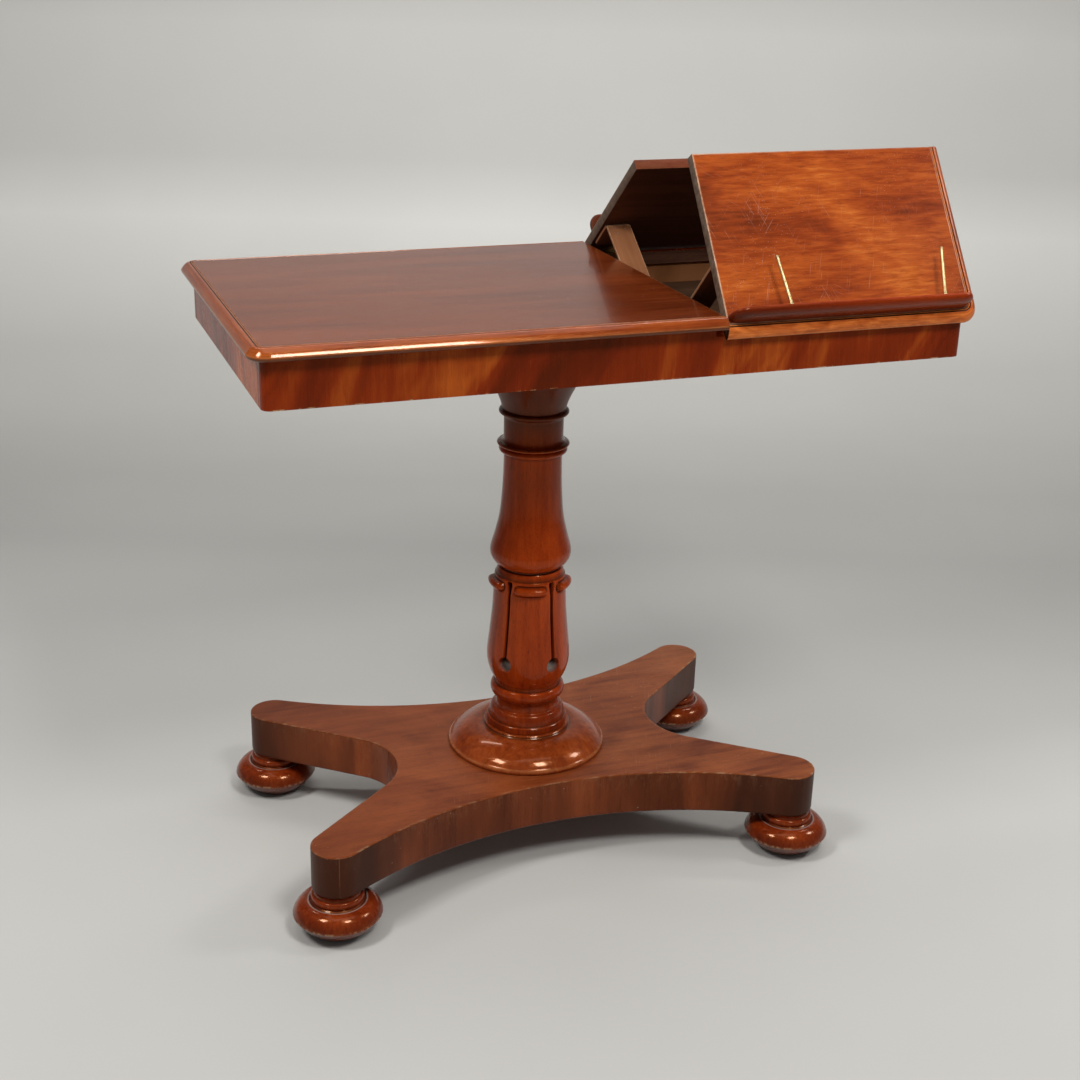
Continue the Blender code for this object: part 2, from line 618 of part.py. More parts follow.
bearer_low = (-BEARER_LENGTH / 2, -BEARER_WIDTH / 2, BEARER_BOTTOM)
bearer_high = (BEARER_LENGTH / 2, BEARER_WIDTH / 2, BEARER_TOP)
bearer = piece("top_bearer", box(bearer_low, bearer_high), PLATFORM_WOOD, PLATFORM_PLACE)
mortise = TOP_TENON_RADIUS + SEAT_GAP
cut(bearer, turned([(mortise, 0.0), (mortise, TOP_HEIGHT)], COLUMN_SIDES), "tenon_mortise")

bottom_low = (-RAIL_INNER_X + SEAT_GAP, -RAIL_INNER_Y + SEAT_GAP, FRIEZE_BOTTOM + BOTTOM_RECESS)
bottom_high = (RAIL_INNER_X - SEAT_GAP, RAIL_INNER_Y - SEAT_GAP, WELL_FLOOR)
bottom = piece("bottom_board", box(bottom_low, bottom_high), DEAL)

screw_x = BEARER_LENGTH / 2 - SCREW_EDGE_INSET
screw_y = BEARER_WIDTH / 2 - SCREW_EDGE_INSET
screw_tip = BEARER_BOTTOM + SCREW_LENGTH
screw_profile = [
    (SCREW_HEAD_RADIUS, BEARER_BOTTOM),
    (SCREW_RADIUS, BEARER_BOTTOM + SCREW_HEAD_HEIGHT),
    (SCREW_RADIUS, screw_tip - SCREW_RADIUS),
    (SCREW_RADIUS / 2, screw_tip),
]
hole_profile = [
    (SCREW_HEAD_RADIUS + SEAT_GAP, FOOT_HEIGHT),
    (SCREW_HEAD_RADIUS + SEAT_GAP, BEARER_BOTTOM),
    (SCREW_RADIUS + SEAT_GAP, BEARER_BOTTOM + SCREW_HEAD_HEIGHT),
    (SCREW_RADIUS + SEAT_GAP, screw_tip + SEAT_GAP),
]
for end_name, way_x in (("left", -1), ("right", 1)):
    for side_name, way_y in (("front", -1), ("rear", 1)):
        screw_name = "bearer_screw_" + side_name + "_" + end_name
        place = (way_x * screw_x, way_y * screw_y, 0)
        cut(bearer, shifted(turned(hole_profile, PIN_SIDES), place), screw_name + "_hole")
        in_bottom = (place[0] + COLUMN_X, place[1], 0)
        cut(bottom, shifted(turned(hole_profile, PIN_SIDES), in_bottom), screw_name + "_hole")
        piece(screw_name, turned(screw_profile, PIN_SIDES), STEEL, in_bottom, smooth=True)


# Frieze rails, partition and inner strips


def hinge_centres():
    half = LEAF_LENGTH / 2
    return {
        "left": SLOPE_LEFT + HINGE_END_INSET + half,
        "right": RAIL_INNER_X - HINGE_END_INSET - half,
    }


def relief_outline(side):
    # The rail's outer upper edge, cut back so that the lip of a slope at its highest can hang in front of it.
    lean = (math.cos(HIGHEST_RAISE), math.sin(HIGHEST_RAISE))
    touch = (lean[1] * HINGE_RISE, -lean[0] * HINGE_RISE)
    touch = (touch[0] + lean[1] * RELIEF_GAP, touch[1] - lean[0] * RELIEF_GAP)
    reach = 2 * MOULDING_WIDTH
    low = (touch[0] - lean[0] * reach, touch[1] - lean[1] * reach)
    high = (touch[0] + lean[0] * reach, touch[1] + lean[1] * reach)
    corners = (low, high, (low[0] - reach, high[1]), (low[0] - reach, low[1]))
    return [(side * (HINGE_Y - inward), HINGE_Z + up) for inward, up in corners]


for side_name, side in (("front", -1), ("rear", 1)):
    near, far = sorted((side * FRIEZE_Y, side * RAIL_INNER_Y))
    radii = [FRIEZE_CORNER_RADIUS, FRIEZE_CORNER_RADIUS, 0, 0]
    if side > 0:
        radii.reverse()
    rail_outline = rounded_rectangle((-FRIEZE_X, near), (FRIEZE_X, far), radii)
    rail = piece("frieze_" + side_name + "_rail", upright(rail_outline, FRIEZE_BOTTOM, RAIL_TOP), FLAME)
    cut(rail, along_x(relief_outline(side), JOINT_X - RELIEF_LEAD, 2 * TOP_X), "relief")
    for hinge_name, centre in hinge_centres().items():
        half = LEAF_LENGTH / 2 + SEAT_GAP
        inner = side * (HINGE_Y - LEAF_WIDTH - SEAT_GAP)
        outer = side * (HINGE_Y + LEAF_WIDTH)
        recess_low = (centre - half, min(inner, outer), RAIL_TOP - LEAF_THICKNESS - SEAT_GAP)
        recess_high = (centre + half, max(inner, outer), TOP_HEIGHT)
        cut(rail, box(recess_low, recess_high), hinge_name + "_leaf_recess")
    strip_outer = side * (RAIL_INNER_Y - SEAT_GAP)
    strip_inner = strip_outer - side * STRIP_THICKNESS
    strip_low = (PARTITION_RIGHT + SEAT_GAP, min(strip_inner, strip_outer), RAIL_TOP - STRIP_HEIGHT)
    strip_high = (RAIL_INNER_X - SEAT_GAP, max(strip_inner, strip_outer), RAIL_TOP)
    piece(side_name + "_well_strip", box(strip_low, strip_high), LEDGE_WOOD)

for end_name, way_x in (("left", -1), ("right", 1)):
    near, far = sorted((way_x * FRIEZE_X, way_x * RAIL_INNER_X))
    end_low = (near, -RAIL_INNER_Y + SEAT_GAP, FRIEZE_BOTTOM)
    piece("frieze_" + end_name + "_rail", box(end_low, (far, RAIL_INNER_Y - SEAT_GAP, RAIL_TOP)), FLAME)

partition_low = (PARTITION_LEFT, -RAIL_INNER_Y + SEAT_GAP, WELL_FLOOR + SEAT_GAP)
partition_high = (PARTITION_RIGHT, RAIL_INNER_Y - SEAT_GAP, RAIL_TOP)
piece("partition_rail", box(partition_low, partition_high), DEAL)


# Top boards and their mouldings


def moulding_section():
    # Outward from the board's edge, and up from the top: a thumbnail with a rounded lower edge.
    nose_low = -BOARD_THICKNESS + MOULDING_LOWER_ROUND
    section = [(SEAT_GAP, -BOARD_THICKNESS), (SEAT_GAP, 0.0)]
    section += quarter((MOULDING_WIDTH * 0.16, 0.0), (MOULDING_WIDTH, -MOULDING_NOSE_DROP), 6, True)
    section.append((MOULDING_WIDTH, nose_low))
    under = (MOULDING_WIDTH - MOULDING_LOWER_ROUND, -BOARD_THICKNESS)
    section += quarter((MOULDING_WIDTH, nose_low), under, 3, False)[1:]
    return section


def moulding(path):
    # The path holds points on the board's edge, each with the way out from it.
    rings = []
    for (x, y), (way_x, way_y) in path:
        rings.append([(x + way_x * out, y + way_y * out, TOP_HEIGHT + up) for out, up in moulding_section()])
    return loft(rings)


def corner_path(centre, start, end, steps=5):
    path = []
    for step in range(steps + 1):
        turn = start + (end - start) * step / steps
        way = (math.cos(turn), math.sin(turn))
        path.append(((centre[0] + BOARD_CORNER * way[0], centre[1] + BOARD_CORNER * way[1]), way))
    return path


fixed_low, fixed_high = (-BOARD_X, -BOARD_Y), (JOINT_X, BOARD_Y)
fixed_outline = rounded_rectangle(fixed_low, fixed_high, (BOARD_CORNER, 0, 0, BOARD_CORNER))
piece("fixed_top_board", upright(fixed_outline, BOARD_UNDER, TOP_HEIGHT), POLISHED)
left_centre_x = -BOARD_X + BOARD_CORNER
corner_y = BOARD_Y - BOARD_CORNER
fixed_path = [((JOINT_X, -BOARD_Y), (0, -1))]
fixed_path += corner_path((left_centre_x, -corner_y), 1.5 * math.pi, math.pi)
fixed_path += corner_path((left_centre_x, corner_y), math.pi, 0.5 * math.pi)
fixed_path.append(((JOINT_X, BOARD_Y), (0, 1)))
piece("fixed_top_moulding", moulding(fixed_path), POLISHED)


# Slopes: each is made flat, about an empty on its hinge line, and the empty then raises it


def strut_geometry(raise_angle):
    # The strut's drop below level, how far it opens from flat, and its foot from the hinge line.
    reach_up = STRUT_REACH * math.sin(raise_angle) - STRUT_HINGE_DROP * math.cos(raise_angle)
    reach_in = STRUT_REACH * math.cos(raise_angle) + STRUT_HINGE_DROP * math.sin(raise_angle)
    seat = WELL_FLOOR + RACK_SEAT - HINGE_Z
    drop = math.asin((reach_up - seat) / STRUT_LENGTH)
    foot = (reach_in + STRUT_LENGTH * math.cos(drop), seat)
    return drop, raise_angle + drop, foot


def rack_slope(raise_angle):
    # The rise of the foot's path as the slope starts to close, with the strut folding in step.
    nudge = 0.01
    ratio = strut_geometry(raise_angle)[1] / raise_angle
    closing = raise_angle - nudge
    drop = (ratio - 1) * closing
    reach_in = STRUT_REACH * math.cos(closing) + STRUT_HINGE_DROP * math.sin(closing)
    reach_up = STRUT_REACH * math.sin(closing) - STRUT_HINGE_DROP * math.cos(closing)
    later = (reach_in + STRUT_LENGTH * math.cos(drop), reach_up - STRUT_LENGTH * math.sin(drop))
    foot = strut_geometry(raise_angle)[2]
    return (later[1] - foot[1]) / (later[0] - foot[0])


def rack_outline(side, raise_angle):
    foot = strut_geometry(raise_angle)[2]
    slope = rack_slope(raise_angle)
    crest = foot[1] - SEAT_GAP
    outer = foot[0] - RACK_OUTER_LENGTH
    corners = [(outer, WELL_FLOOR + SEAT_GAP - HINGE_Z), (outer, crest - slope * RACK_OUTER_LENGTH)]
    for tooth in range(RACK_TEETH):
        run = tooth * RACK_TOOTH_PITCH
        corners.append((foot[0] + run, crest + slope * run))
        corners.append((foot[0] + run, crest + slope * run - RACK_TOOTH_DEPTH))
    end = RACK_TEETH * RACK_TOOTH_PITCH
    corners.append((foot[0] + end, crest + slope * end))
    corners.append((foot[0] + end, WELL_FLOOR + SEAT_GAP - HINGE_Z))
    return [(side * (HINGE_Y - inward), HINGE_Z + up) for inward, up in corners]


def strut_centres():
    half = STRUT_WIDTH / 2
    return {
        "left": PARTITION_RIGHT + STRUT_LEFT_INSET + half,
        "right": RAIL_INNER_X - STRUT_RIGHT_INSET - half,
    }


def fixed_leaf(name, side, centre):
    # The pin and the outer knuckles, on a leaf let into the top of the rail.
    outer = LEAF_LENGTH / 2
    middle = LEAF_LENGTH / 4
    leaf_top = RAIL_TOP - HINGE_Z
    across = sorted((side * KNUCKLE_RADIUS / 2, -side * LEAF_WIDTH))
    plate = box((-outer, across[0], leaf_top - LEAF_THICKNESS), (outer, across[1], leaf_top))
    made = piece(name, plate, BRASS, (centre, side * HINGE_Y, HINGE_Z))
    room = KNUCKLE_RADIUS + RUNNING_GAP
    cut(made, box((-middle, -room, -LEAF_LENGTH), (middle, room, LEAF_LENGTH)), "knuckle_room")
    for end_name, near, far in (("left", -outer, -middle), ("right", middle, outer)):
        add(made, lying(KNUCKLE_RADIUS, near, far, PIN_SIDES), end_name + "_knuckle")
    add(made, lying(HINGE_PIN_RADIUS, -outer * 0.9, outer * 0.9, PIN_SIDES), "hinge_pin")


def slope_leaf(name, side, centre, parent):
    # The middle knuckle, on a leaf let into the underside of the board.
    outer = LEAF_LENGTH / 2
    middle = LEAF_LENGTH / 4 - RUNNING_GAP
    leaf_low = -HINGE_RISE
    across = sorted((-side * (KNUCKLE_RADIUS + RUNNING_GAP), -side * LEAF_WIDTH))
    plate = box((-outer, across[0], leaf_low), (outer, across[1], leaf_low + LEAF_THICKNESS))
    made = piece(name, plate, BRASS, (centre, 0, 0), parent)
    web = sorted((-side * HINGE_PIN_RADIUS * 1.5, -side * LEAF_WIDTH * 0.5))
    add(made, box((-middle, web[0], leaf_low), (middle, web[1], leaf_low + LEAF_THICKNESS)), "web")
    add(made, lying(KNUCKLE_RADIUS, -middle, middle, PIN_SIDES), "knuckle")
    cut(made, lying(HINGE_PIN_RADIUS + RUNNING_GAP, -outer, outer, PIN_SIDES), "pin_bore")


def hinge_recess(side):
    # Room in the board's underside for the knuckles, as they turn, and for the leaf.
    knuckle = KNUCKLE_RADIUS + RUNNING_GAP
    leaf_top = -HINGE_RISE + LEAF_THICKNESS + SEAT_GAP
    below = -2 * HINGE_RISE
    corners = (
        (-HINGE_INSET - SEAT_GAP, below),
        (-HINGE_INSET - SEAT_GAP, knuckle),
        (knuckle, knuckle),
        (knuckle, leaf_top),
        (LEAF_WIDTH + SEAT_GAP, leaf_top),
        (LEAF_WIDTH + SEAT_GAP, below),
    )
    return [(-side * inward, up) for inward, up in corners]


def ledge(side, rise):
    # Layers from the underside to the top face, each a strip with rounded outer ends.
    left, right = SLOPE_LEFT + LEDGE_END_INSET, BOARD_X - LEDGE_END_INSET
    rounded = LEDGE_THICKNESS - LEDGE_LIP
    layers = []
    for step in range(5):
        share = step / 4
        layers.append((rounded * share, LEDGE_UNDERCUT * (1 - math.sqrt(1 - (1 - share) ** 2))))
    layers.append((LEDGE_THICKNESS, 0.0))
    rings = []
    for up_slope, drawn in layers:
        corner = LEDGE_END_RADIUS
        low = (left + drawn, SEAT_GAP)
        high = (right - drawn, LEDGE_REACH - drawn)
        corner = min(corner, (high[1] - low[1]) * 0.95)
        outline = rounded_rectangle(low, high, (0, 0, corner, corner), 5)
        inward = -HINGE_INSET + rise + up_slope
        rings.append([(x, -side * inward, SLOPE_FACE + out) for x, out in outline])
    return loft(rings)


def pin_profile():
    # From the ball in its socket to the small ball at the tip.
    waist = PIN_BALL_RADIUS * 0.8
    ball = [(PIN_BALL_RADIUS * math.sin(t), -PIN_BALL_RADIUS * math.cos(t)) for t in (0.5, 1.0, 1.57, 2.1)]
    tip = PIN_LENGTH - PIN_TIP_RADIUS
    bulb = [(PIN_TIP_RADIUS * math.sin(t), tip - PIN_TIP_RADIUS * math.cos(t)) for t in (0.9, 1.57, 2.2, 2.8)]
    return ball + [(PIN_RADIUS, PIN_BALL_RADIUS + waist), (PIN_RADIUS * 0.85, tip - 2 * PIN_TIP_RADIUS)] + bulb


def slope(side_name, side, raise_angle, ledge_rise):
    hinge = axis_empty(side_name + "_slope_axis", (0, side * HINGE_Y, HINGE_Z), turn=(-side * raise_angle, 0, 0))
    prefix = side_name + "_slope_"
    near, far = sorted((side * BOARD_Y, side * FINGER_GAP / 2))
    radii = [0, BOARD_CORNER, 0, 0] if side < 0 else [0, 0, BOARD_CORNER, 0]
    outline = rounded_rectangle((SLOPE_LEFT, near), (BOARD_X, far), radii)
    to_hinge = (0, -side * HINGE_Y, -HINGE_Z)
    board = piece(prefix + "board", shifted(upright(outline, BOARD_UNDER, TOP_HEIGHT), to_hinge), POLISHED, parent=hinge)
    corner = (BOARD_X - BOARD_CORNER, side * corner_y)
    path = [((SLOPE_LEFT, side * BOARD_Y), (0, side))]
    path += corner_path(corner, side * 0.5 * math.pi, 0.0)
    path.append(((BOARD_X, side * FINGER_GAP / 2), (1, 0)))
    piece(prefix + "moulding", shifted(moulding(path), to_hinge), POLISHED, parent=hinge)
    rest = piece(prefix + "ledge", ledge(side, ledge_rise), LEDGE_WOOD, parent=hinge)

    for hinge_name, centre in hinge_centres().items():
        fixed_leaf(side_name + "_hinge_" + hinge_name + "_fixed_leaf", side, centre)
        slope_leaf(side_name + "_hinge_" + hinge_name + "_slope_leaf", side, centre, hinge)
        half = LEAF_LENGTH / 2 + SEAT_GAP
        cut(board, along_x(hinge_recess(side), centre - half, centre + half), hinge_name + "_hinge_recess")

    pin_x = SLOPE_LEFT + PIN_END_INSET
    pin_up = -HINGE_INSET + ledge_rise + LEDGE_THICKNESS + PIN_BALL_RADIUS * 0.4
    pin_out = SLOPE_FACE + LEDGE_REACH - PIN_EDGE_INSET
    for pin_name, x, lean in (("left", pin_x, LEFT_PIN_LEAN), ("right", pin_x + PIN_SPACING, RIGHT_PIN_LEAN)):
        turn = (side * math.pi / 2, 0, side * lean)
        pivot = axis_empty(prefix + pin_name + "_pin_axis", (x, -side * pin_up, pin_out), hinge, turn)
        piece(prefix + pin_name + "_pin", turned(pin_profile(), PIN_SIDES), BRASS, parent=pivot, smooth=True)
        wide = PIN_BALL_RADIUS + RUNNING_GAP
        floor = pin_up - PIN_BALL_RADIUS * 0.4 - PIN_SOCKET_DEPTH
        near, far = sorted((-side * floor, -side * (pin_up + PIN_BALL_RADIUS)))
        socket_low = (x - PIN_SOCKET_LENGTH / 2, near, pin_out - wide)
        socket_high = (x + PIN_SOCKET_LENGTH / 2, far, pin_out + wide)
        cut(rest, box(socket_low, socket_high), pin_name + "_pin_socket")

    opening = strut_geometry(raise_angle)[1]
    for strut_name, centre in strut_centres().items():
        half = STRUT_WIDTH / 2
        inner, outer = STRUT_REACH - SEAT_GAP, STRUT_REACH - CLEAT_LENGTH
        near, far = sorted((-side * inner, -side * outer))
        low, high = -STRUT_HINGE_DROP, -STRUT_HINGE_DROP + STRUT_THICKNESS
        cleat = box((centre - half, near, low), (centre + half, far, high))
        piece(prefix + strut_name + "_cleat", cleat, STRUT_WOOD, parent=hinge)
        turn = (side * opening, 0, 0)
        fold = axis_empty(prefix + strut_name + "_strut_axis", (centre, -side * STRUT_REACH, low), hinge, turn)
        near, far = sorted((-side * SEAT_GAP, -side * STRUT_LENGTH))
        strut = box((-half, near, 0), (half, far, STRUT_THICKNESS))
        piece(prefix + strut_name + "_strut", strut, STRUT_WOOD, parent=fold)
        rack_half = half + STRUT_LEFT_INSET - SEAT_GAP
        rack = along_x(rack_outline(side, raise_angle), centre - rack_half, centre + rack_half)
        piece(side_name + "_" + strut_name + "_rack", rack, DEAL)


slope("front", -1, FRONT_RAISE, FRONT_LEDGE_RISE)
slope("rear", 1, REAR_RAISE, REAR_LEDGE_RISE)
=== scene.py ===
import json
import math

import bmesh
import bpy
from mathutils import Matrix, Vector

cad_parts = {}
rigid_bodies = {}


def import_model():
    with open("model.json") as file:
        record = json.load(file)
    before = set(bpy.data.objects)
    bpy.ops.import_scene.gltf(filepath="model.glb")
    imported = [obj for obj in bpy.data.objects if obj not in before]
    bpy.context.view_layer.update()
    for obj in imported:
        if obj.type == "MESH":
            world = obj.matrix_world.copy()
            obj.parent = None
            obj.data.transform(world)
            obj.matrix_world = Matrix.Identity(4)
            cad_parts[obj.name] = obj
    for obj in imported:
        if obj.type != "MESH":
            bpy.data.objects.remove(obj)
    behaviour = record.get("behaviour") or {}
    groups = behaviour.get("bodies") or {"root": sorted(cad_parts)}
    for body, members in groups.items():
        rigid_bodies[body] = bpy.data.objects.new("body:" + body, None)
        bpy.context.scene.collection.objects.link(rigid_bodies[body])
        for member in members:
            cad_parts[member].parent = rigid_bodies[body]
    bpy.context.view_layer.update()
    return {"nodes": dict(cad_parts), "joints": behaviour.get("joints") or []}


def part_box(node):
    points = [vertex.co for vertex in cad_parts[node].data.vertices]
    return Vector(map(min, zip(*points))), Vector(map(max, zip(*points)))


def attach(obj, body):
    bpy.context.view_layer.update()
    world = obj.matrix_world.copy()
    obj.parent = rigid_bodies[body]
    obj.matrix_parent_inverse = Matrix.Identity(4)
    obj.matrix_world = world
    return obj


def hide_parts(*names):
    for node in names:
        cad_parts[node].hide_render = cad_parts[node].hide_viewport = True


for leftOver in list(bpy.data.objects):
    bpy.data.objects.remove(leftOver, do_unlink=True)

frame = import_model()
joints = {joint["name"]: joint for joint in frame["joints"]}
print("frame loaded:", len(frame["nodes"]), "nodes")


# ways of making a material

def addNode(tree, kind, wired=None, **settings):
    made = tree.nodes.new(kind)
    for key, value in settings.items():
        setattr(made, key, value)
    for key, value in (wired or {}).items():
        if isinstance(value, bpy.types.NodeSocket):
            tree.links.new(value, made.inputs[key])
        else:
            made.inputs[key].default_value = value
    return made


def work(tree, operation, first, second=0.0, third=0.0):
    return addNode(tree, "ShaderNodeMath", {0: first, 1: second, 2: third}, operation=operation).outputs[0]


def ramp(tree, source, stops):
    made = addNode(tree, "ShaderNodeValToRGB", {"Fac": source})
    elements = made.color_ramp.elements
    while len(elements) < len(stops):
        elements.new(0.5)
    for element, (place, colour) in zip(elements, stops):
        element.position = place
        element.color = (*colour, 1.0) if hasattr(colour, "__len__") else (colour, colour, colour, 1.0)
    return made.outputs["Color"]


def mixColour(tree, share, under, over, blend="MIX"):
    made = addNode(tree, "ShaderNodeMix", data_type="RGBA", blend_type=blend)
    for socket, value in ((made.inputs[0], share), (made.inputs[6], under), (made.inputs[7], over)):
        if isinstance(value, bpy.types.NodeSocket):
            tree.links.new(value, socket)
        else:
            socket.default_value = value if isinstance(value, float) else (*value, 1.0)
    return made.outputs[2]


def blankFinish(name):
    made = bpy.data.materials.new(name)
    made.use_nodes = True
    return made, made.node_tree, made.node_tree.nodes["Principled BSDF"]


def objectSpace(tree):
    return addNode(tree, "ShaderNodeTexCoord").outputs["Object"]


def axisOf(tree, vector, axis):
    return addNode(tree, "ShaderNodeSeparateXYZ", {0: vector}).outputs[axis]


def carried(tree, label):
    # a value that the piece's own points carry
    return addNode(tree, "ShaderNodeAttribute", attribute_name=label).outputs["Fac"]


def plankSpace(tree, lie):
    # along the grain, across it and into the wood: carried by the piece, or taken from the frame's axes
    if lie is None:
        return addNode(tree, "ShaderNodeAttribute", attribute_name="grain").outputs["Vector"]
    spot = objectSpace(tree)
    picked = {place: axisOf(tree, spot, axis) for place, axis in enumerate(lie)}
    return addNode(tree, "ShaderNodeCombineXYZ", picked).outputs[0]


def turnedSpace(tree, space, angle):
    wired = {"Vector": space, "Angle": angle}
    return addNode(tree, "ShaderNodeVectorRotate", wired, rotation_type="Z_AXIS").outputs[0]


def stretched(tree, space, along, across, shift=0.0):
    wired = {"Vector": space, "Location": (shift, shift * 1.7, shift * 0.6),
             "Scale": (along, across, across)}
    return addNode(tree, "ShaderNodeMapping", wired).outputs[0]


def grainNoise(tree, vector, detail=4.0, rough=0.55, twist=0.0):
    wired = {"Vector": vector, "Scale": 1.0, "Detail": detail, "Roughness": rough, "Distortion": twist}
    return addNode(tree, "ShaderNodeTexNoise", wired).outputs["Fac"]


# the grime mark is a near black, used both for grime and for painted shade
marks = dict(speck=(0.62, 0.5, 0.42), scratch=(0.62, 0.42, 0.30), grime=(0.012, 0.005, 0.003),
             dust=(0.40, 0.34, 0.30), glueLine=(0.15, 0.075, 0.038), chip=(0.46, 0.27, 0.13))
blotched = ((0.34, 0.25), (0.62, 1.0))  # how broken the rubbed edges are, where a finish doesn't say


def addSpecks(tree, space, look, colour):
    # dust and old marks, in patches
    fine, share = look["specks"]
    cells = addNode(tree, "ShaderNodeTexVoronoi", {"Vector": space, "Scale": fine})
    tint = addNode(tree, "ShaderNodeSeparateColor", {0: cells.outputs["Color"]}).outputs[0]
    near = work(tree, "LESS_THAN", cells.outputs["Distance"], 0.16)
    few = work(tree, "GREATER_THAN", tint, 1 - share)
    blots = grainNoise(tree, stretched(tree, space, 9.0, 9.0, look["seed"]), 2.0)
    patchy = ramp(tree, blots, ((0.45, 0.0), (0.6, 1.0)))
    dots = work(tree, "MULTIPLY", work(tree, "MULTIPLY", near, few), patchy)
    return mixColour(tree, work(tree, "MULTIPLY", dots, 0.55), colour, marks["speck"])


def addScratches(tree, space, look, colour):
    # fine dry lines, each set of them at its own turn
    for turn, share in look["scratches"]:
        wired = {"Vector": turnedSpace(tree, space, turn), "Scale": (22.0, 1100.0, 22.0)}
        ways = addNode(tree, "ShaderNodeMapping", wired).outputs[0]
        lines = ramp(tree, grainNoise(tree, ways, 1.0, 0.5), ((0.70, 0.0), (0.76, share)))
        blots = grainNoise(tree, stretched(tree, space, 11.0, 11.0, turn), 2.0)
        rare = ramp(tree, blots, ((0.50, 0.0), (0.66, 1.0)))
        colour = mixColour(tree, work(tree, "MULTIPLY", lines, rare), colour, marks["scratch"])
    return colour


def addWear(tree, space, look, colour, roughness):
    # edges rubbed pale, some of it painted highlight; dirt and painted shade in the hollows; dust where
    # nobody wipes
    blots = grainNoise(tree, stretched(tree, space, 60.0, 160.0, look["seed"]), 5.0, 0.7)
    broken = ramp(tree, blots, look.get("chips", blotched))
    rubbed = work(tree, "MULTIPLY", carried(tree, "wearAndHighlight"), broken)
    colour = mixColour(tree, rubbed, colour, look["worn"])
    roughness = work(tree, "MULTIPLY_ADD", rubbed, 0.22, roughness)
    dirtAndShade = carried(tree, "grime")
    colour = mixColour(tree, dirtAndShade, colour, look.get("grimeColour", marks["grime"]))
    roughness = work(tree, "MULTIPLY_ADD", dirtAndShade, 0.3, roughness)
    return mixColour(tree, carried(tree, "dust"), colour, marks["dust"]), roughness


def addSideRamp(tree, space, look, colour):
    # darker towards the left end, lighter towards the right
    share = work(tree, "MULTIPLY_ADD", axisOf(tree, space, 0), 1.5, 0.5)
    near, far = look["faded"]
    return mixColour(tree, 1.0, colour, ramp(tree, share, ((0.0, near), (1.0, far))), "MULTIPLY")


def addJoints(tree, space, look, colour, smear):
    # where one sheet of veneer meets the next
    across, patchy = axisOf(tree, space, 1), ramp(tree, smear, ((0.46, 0.05), (0.60, 0.6)))
    for at in look["joints"]:
        line = work(tree, "LESS_THAN", work(tree, "ABSOLUTE", work(tree, "SUBTRACT", across, at)), 0.0006)
        colour = mixColour(tree, work(tree, "MULTIPLY", line, patchy), colour, marks["glueLine"])
    return colour


def addBareSide(tree, space, look, colour, roughness, figure):
    # the inner face of a rail was never veneered, and its lowest edge is chipped
    axis, limit = look["bare"]
    spot = objectSpace(tree)
    inside = work(tree, "LESS_THAN", work(tree, "ABSOLUTE", axisOf(tree, spot, axis)), limit)
    colour = mixColour(tree, inside, colour, ramp(tree, figure, dealFigure))
    roughness = work(tree, "MULTIPLY_ADD", inside, 0.4, roughness)
    blots = grainNoise(tree, stretched(tree, space, 70.0, 70.0, look["seed"]), 4.0, 0.7)
    chipped = ramp(tree, blots, ((0.55, 0.0), (0.64, 0.9)))
    lowest = work(tree, "LESS_THAN", axisOf(tree, spot, 2), look["nicks"] + 0.0014)
    return mixColour(tree, work(tree, "MULTIPLY", lowest, chipped), colour, marks["chip"]), roughness


def woodFinish(name, base, **changed):
    look = dict(base, **changed)
    made, tree, shader = blankFinish(name)
    space, seed = plankSpace(tree, look.get("lie")), look["seed"]
    leaning = turnedSpace(tree, space, look.get("lean", 0.0))
    drift = grainNoise(tree, stretched(tree, leaning, *look["drift"], seed), 3.0, 0.5,
                       look.get("twist", 0.6))
    streak = grainNoise(tree, stretched(tree, space, *look["streak"], seed * 2), 6.0, 0.6, 0.35)
    pores = grainNoise(tree, stretched(tree, space, *look["pores"], seed * 3), 2.0, 0.5)
    smear = grainNoise(tree, stretched(tree, space, 14.0, 22.0, seed * 5), 4.0, 0.65)
    share = look.get("driftShare", 0.5)
    figure = work(tree, "ADD", work(tree, "MULTIPLY", drift, share),
                  work(tree, "MULTIPLY", streak, 1 - share))
    poreMask = ramp(tree, pores, ((0.56, 0.0), (0.68, 1.0)))
    poreShare = work(tree, "MULTIPLY", poreMask, look.get("poreDark", 0.45))
    colour = mixColour(tree, poreShare, ramp(tree, figure, look["colours"]), look["poreColour"])
    low, high = look["rough"]
    roughness = work(tree, "MULTIPLY_ADD", streak, high - low, low)
    roughness = work(tree, "MULTIPLY_ADD", smear, look.get("smear", 0.12), roughness)
    if "specks" in look:
        colour = addSpecks(tree, space, look, colour)
    if "scratches" in look:
        colour = addScratches(tree, space, look, colour)
    if "worn" in look:
        colour, roughness = addWear(tree, space, look, colour, roughness)
    if "faded" in look:
        colour = addSideRamp(tree, space, look, colour)
    if "joints" in look:
        colour = addJoints(tree, space, look, colour, smear)
    if "bare" in look:
        colour, roughness = addBareSide(tree, space, look, colour, roughness, figure)
    height = work(tree, "ADD", work(tree, "MULTIPLY", poreMask, -0.6), work(tree, "MULTIPLY", streak, 0.5))
    wired = {"Strength": look.get("bump", 0.12), "Distance": 0.0004, "Height": height}
    bump = addNode(tree, "ShaderNodeBump", wired)
    for key, value in (("Base Color", colour), ("Roughness", roughness), ("Normal", bump.outputs[0])):
        tree.links.new(value, shader.inputs[key])
    shader.inputs["Coat Weight"].default_value = look.get("polish", 0.12)
    shader.inputs["Coat Roughness"].default_value = look.get("polishRough", 0.07)
    shader.inputs["Specular IOR Level"].default_value = look.get("sheen", 0.45)
    shader.inputs["Specular Tint"].default_value = (*look.get("glow", (1.0, 0.42, 0.14)), 1.0)
    return made


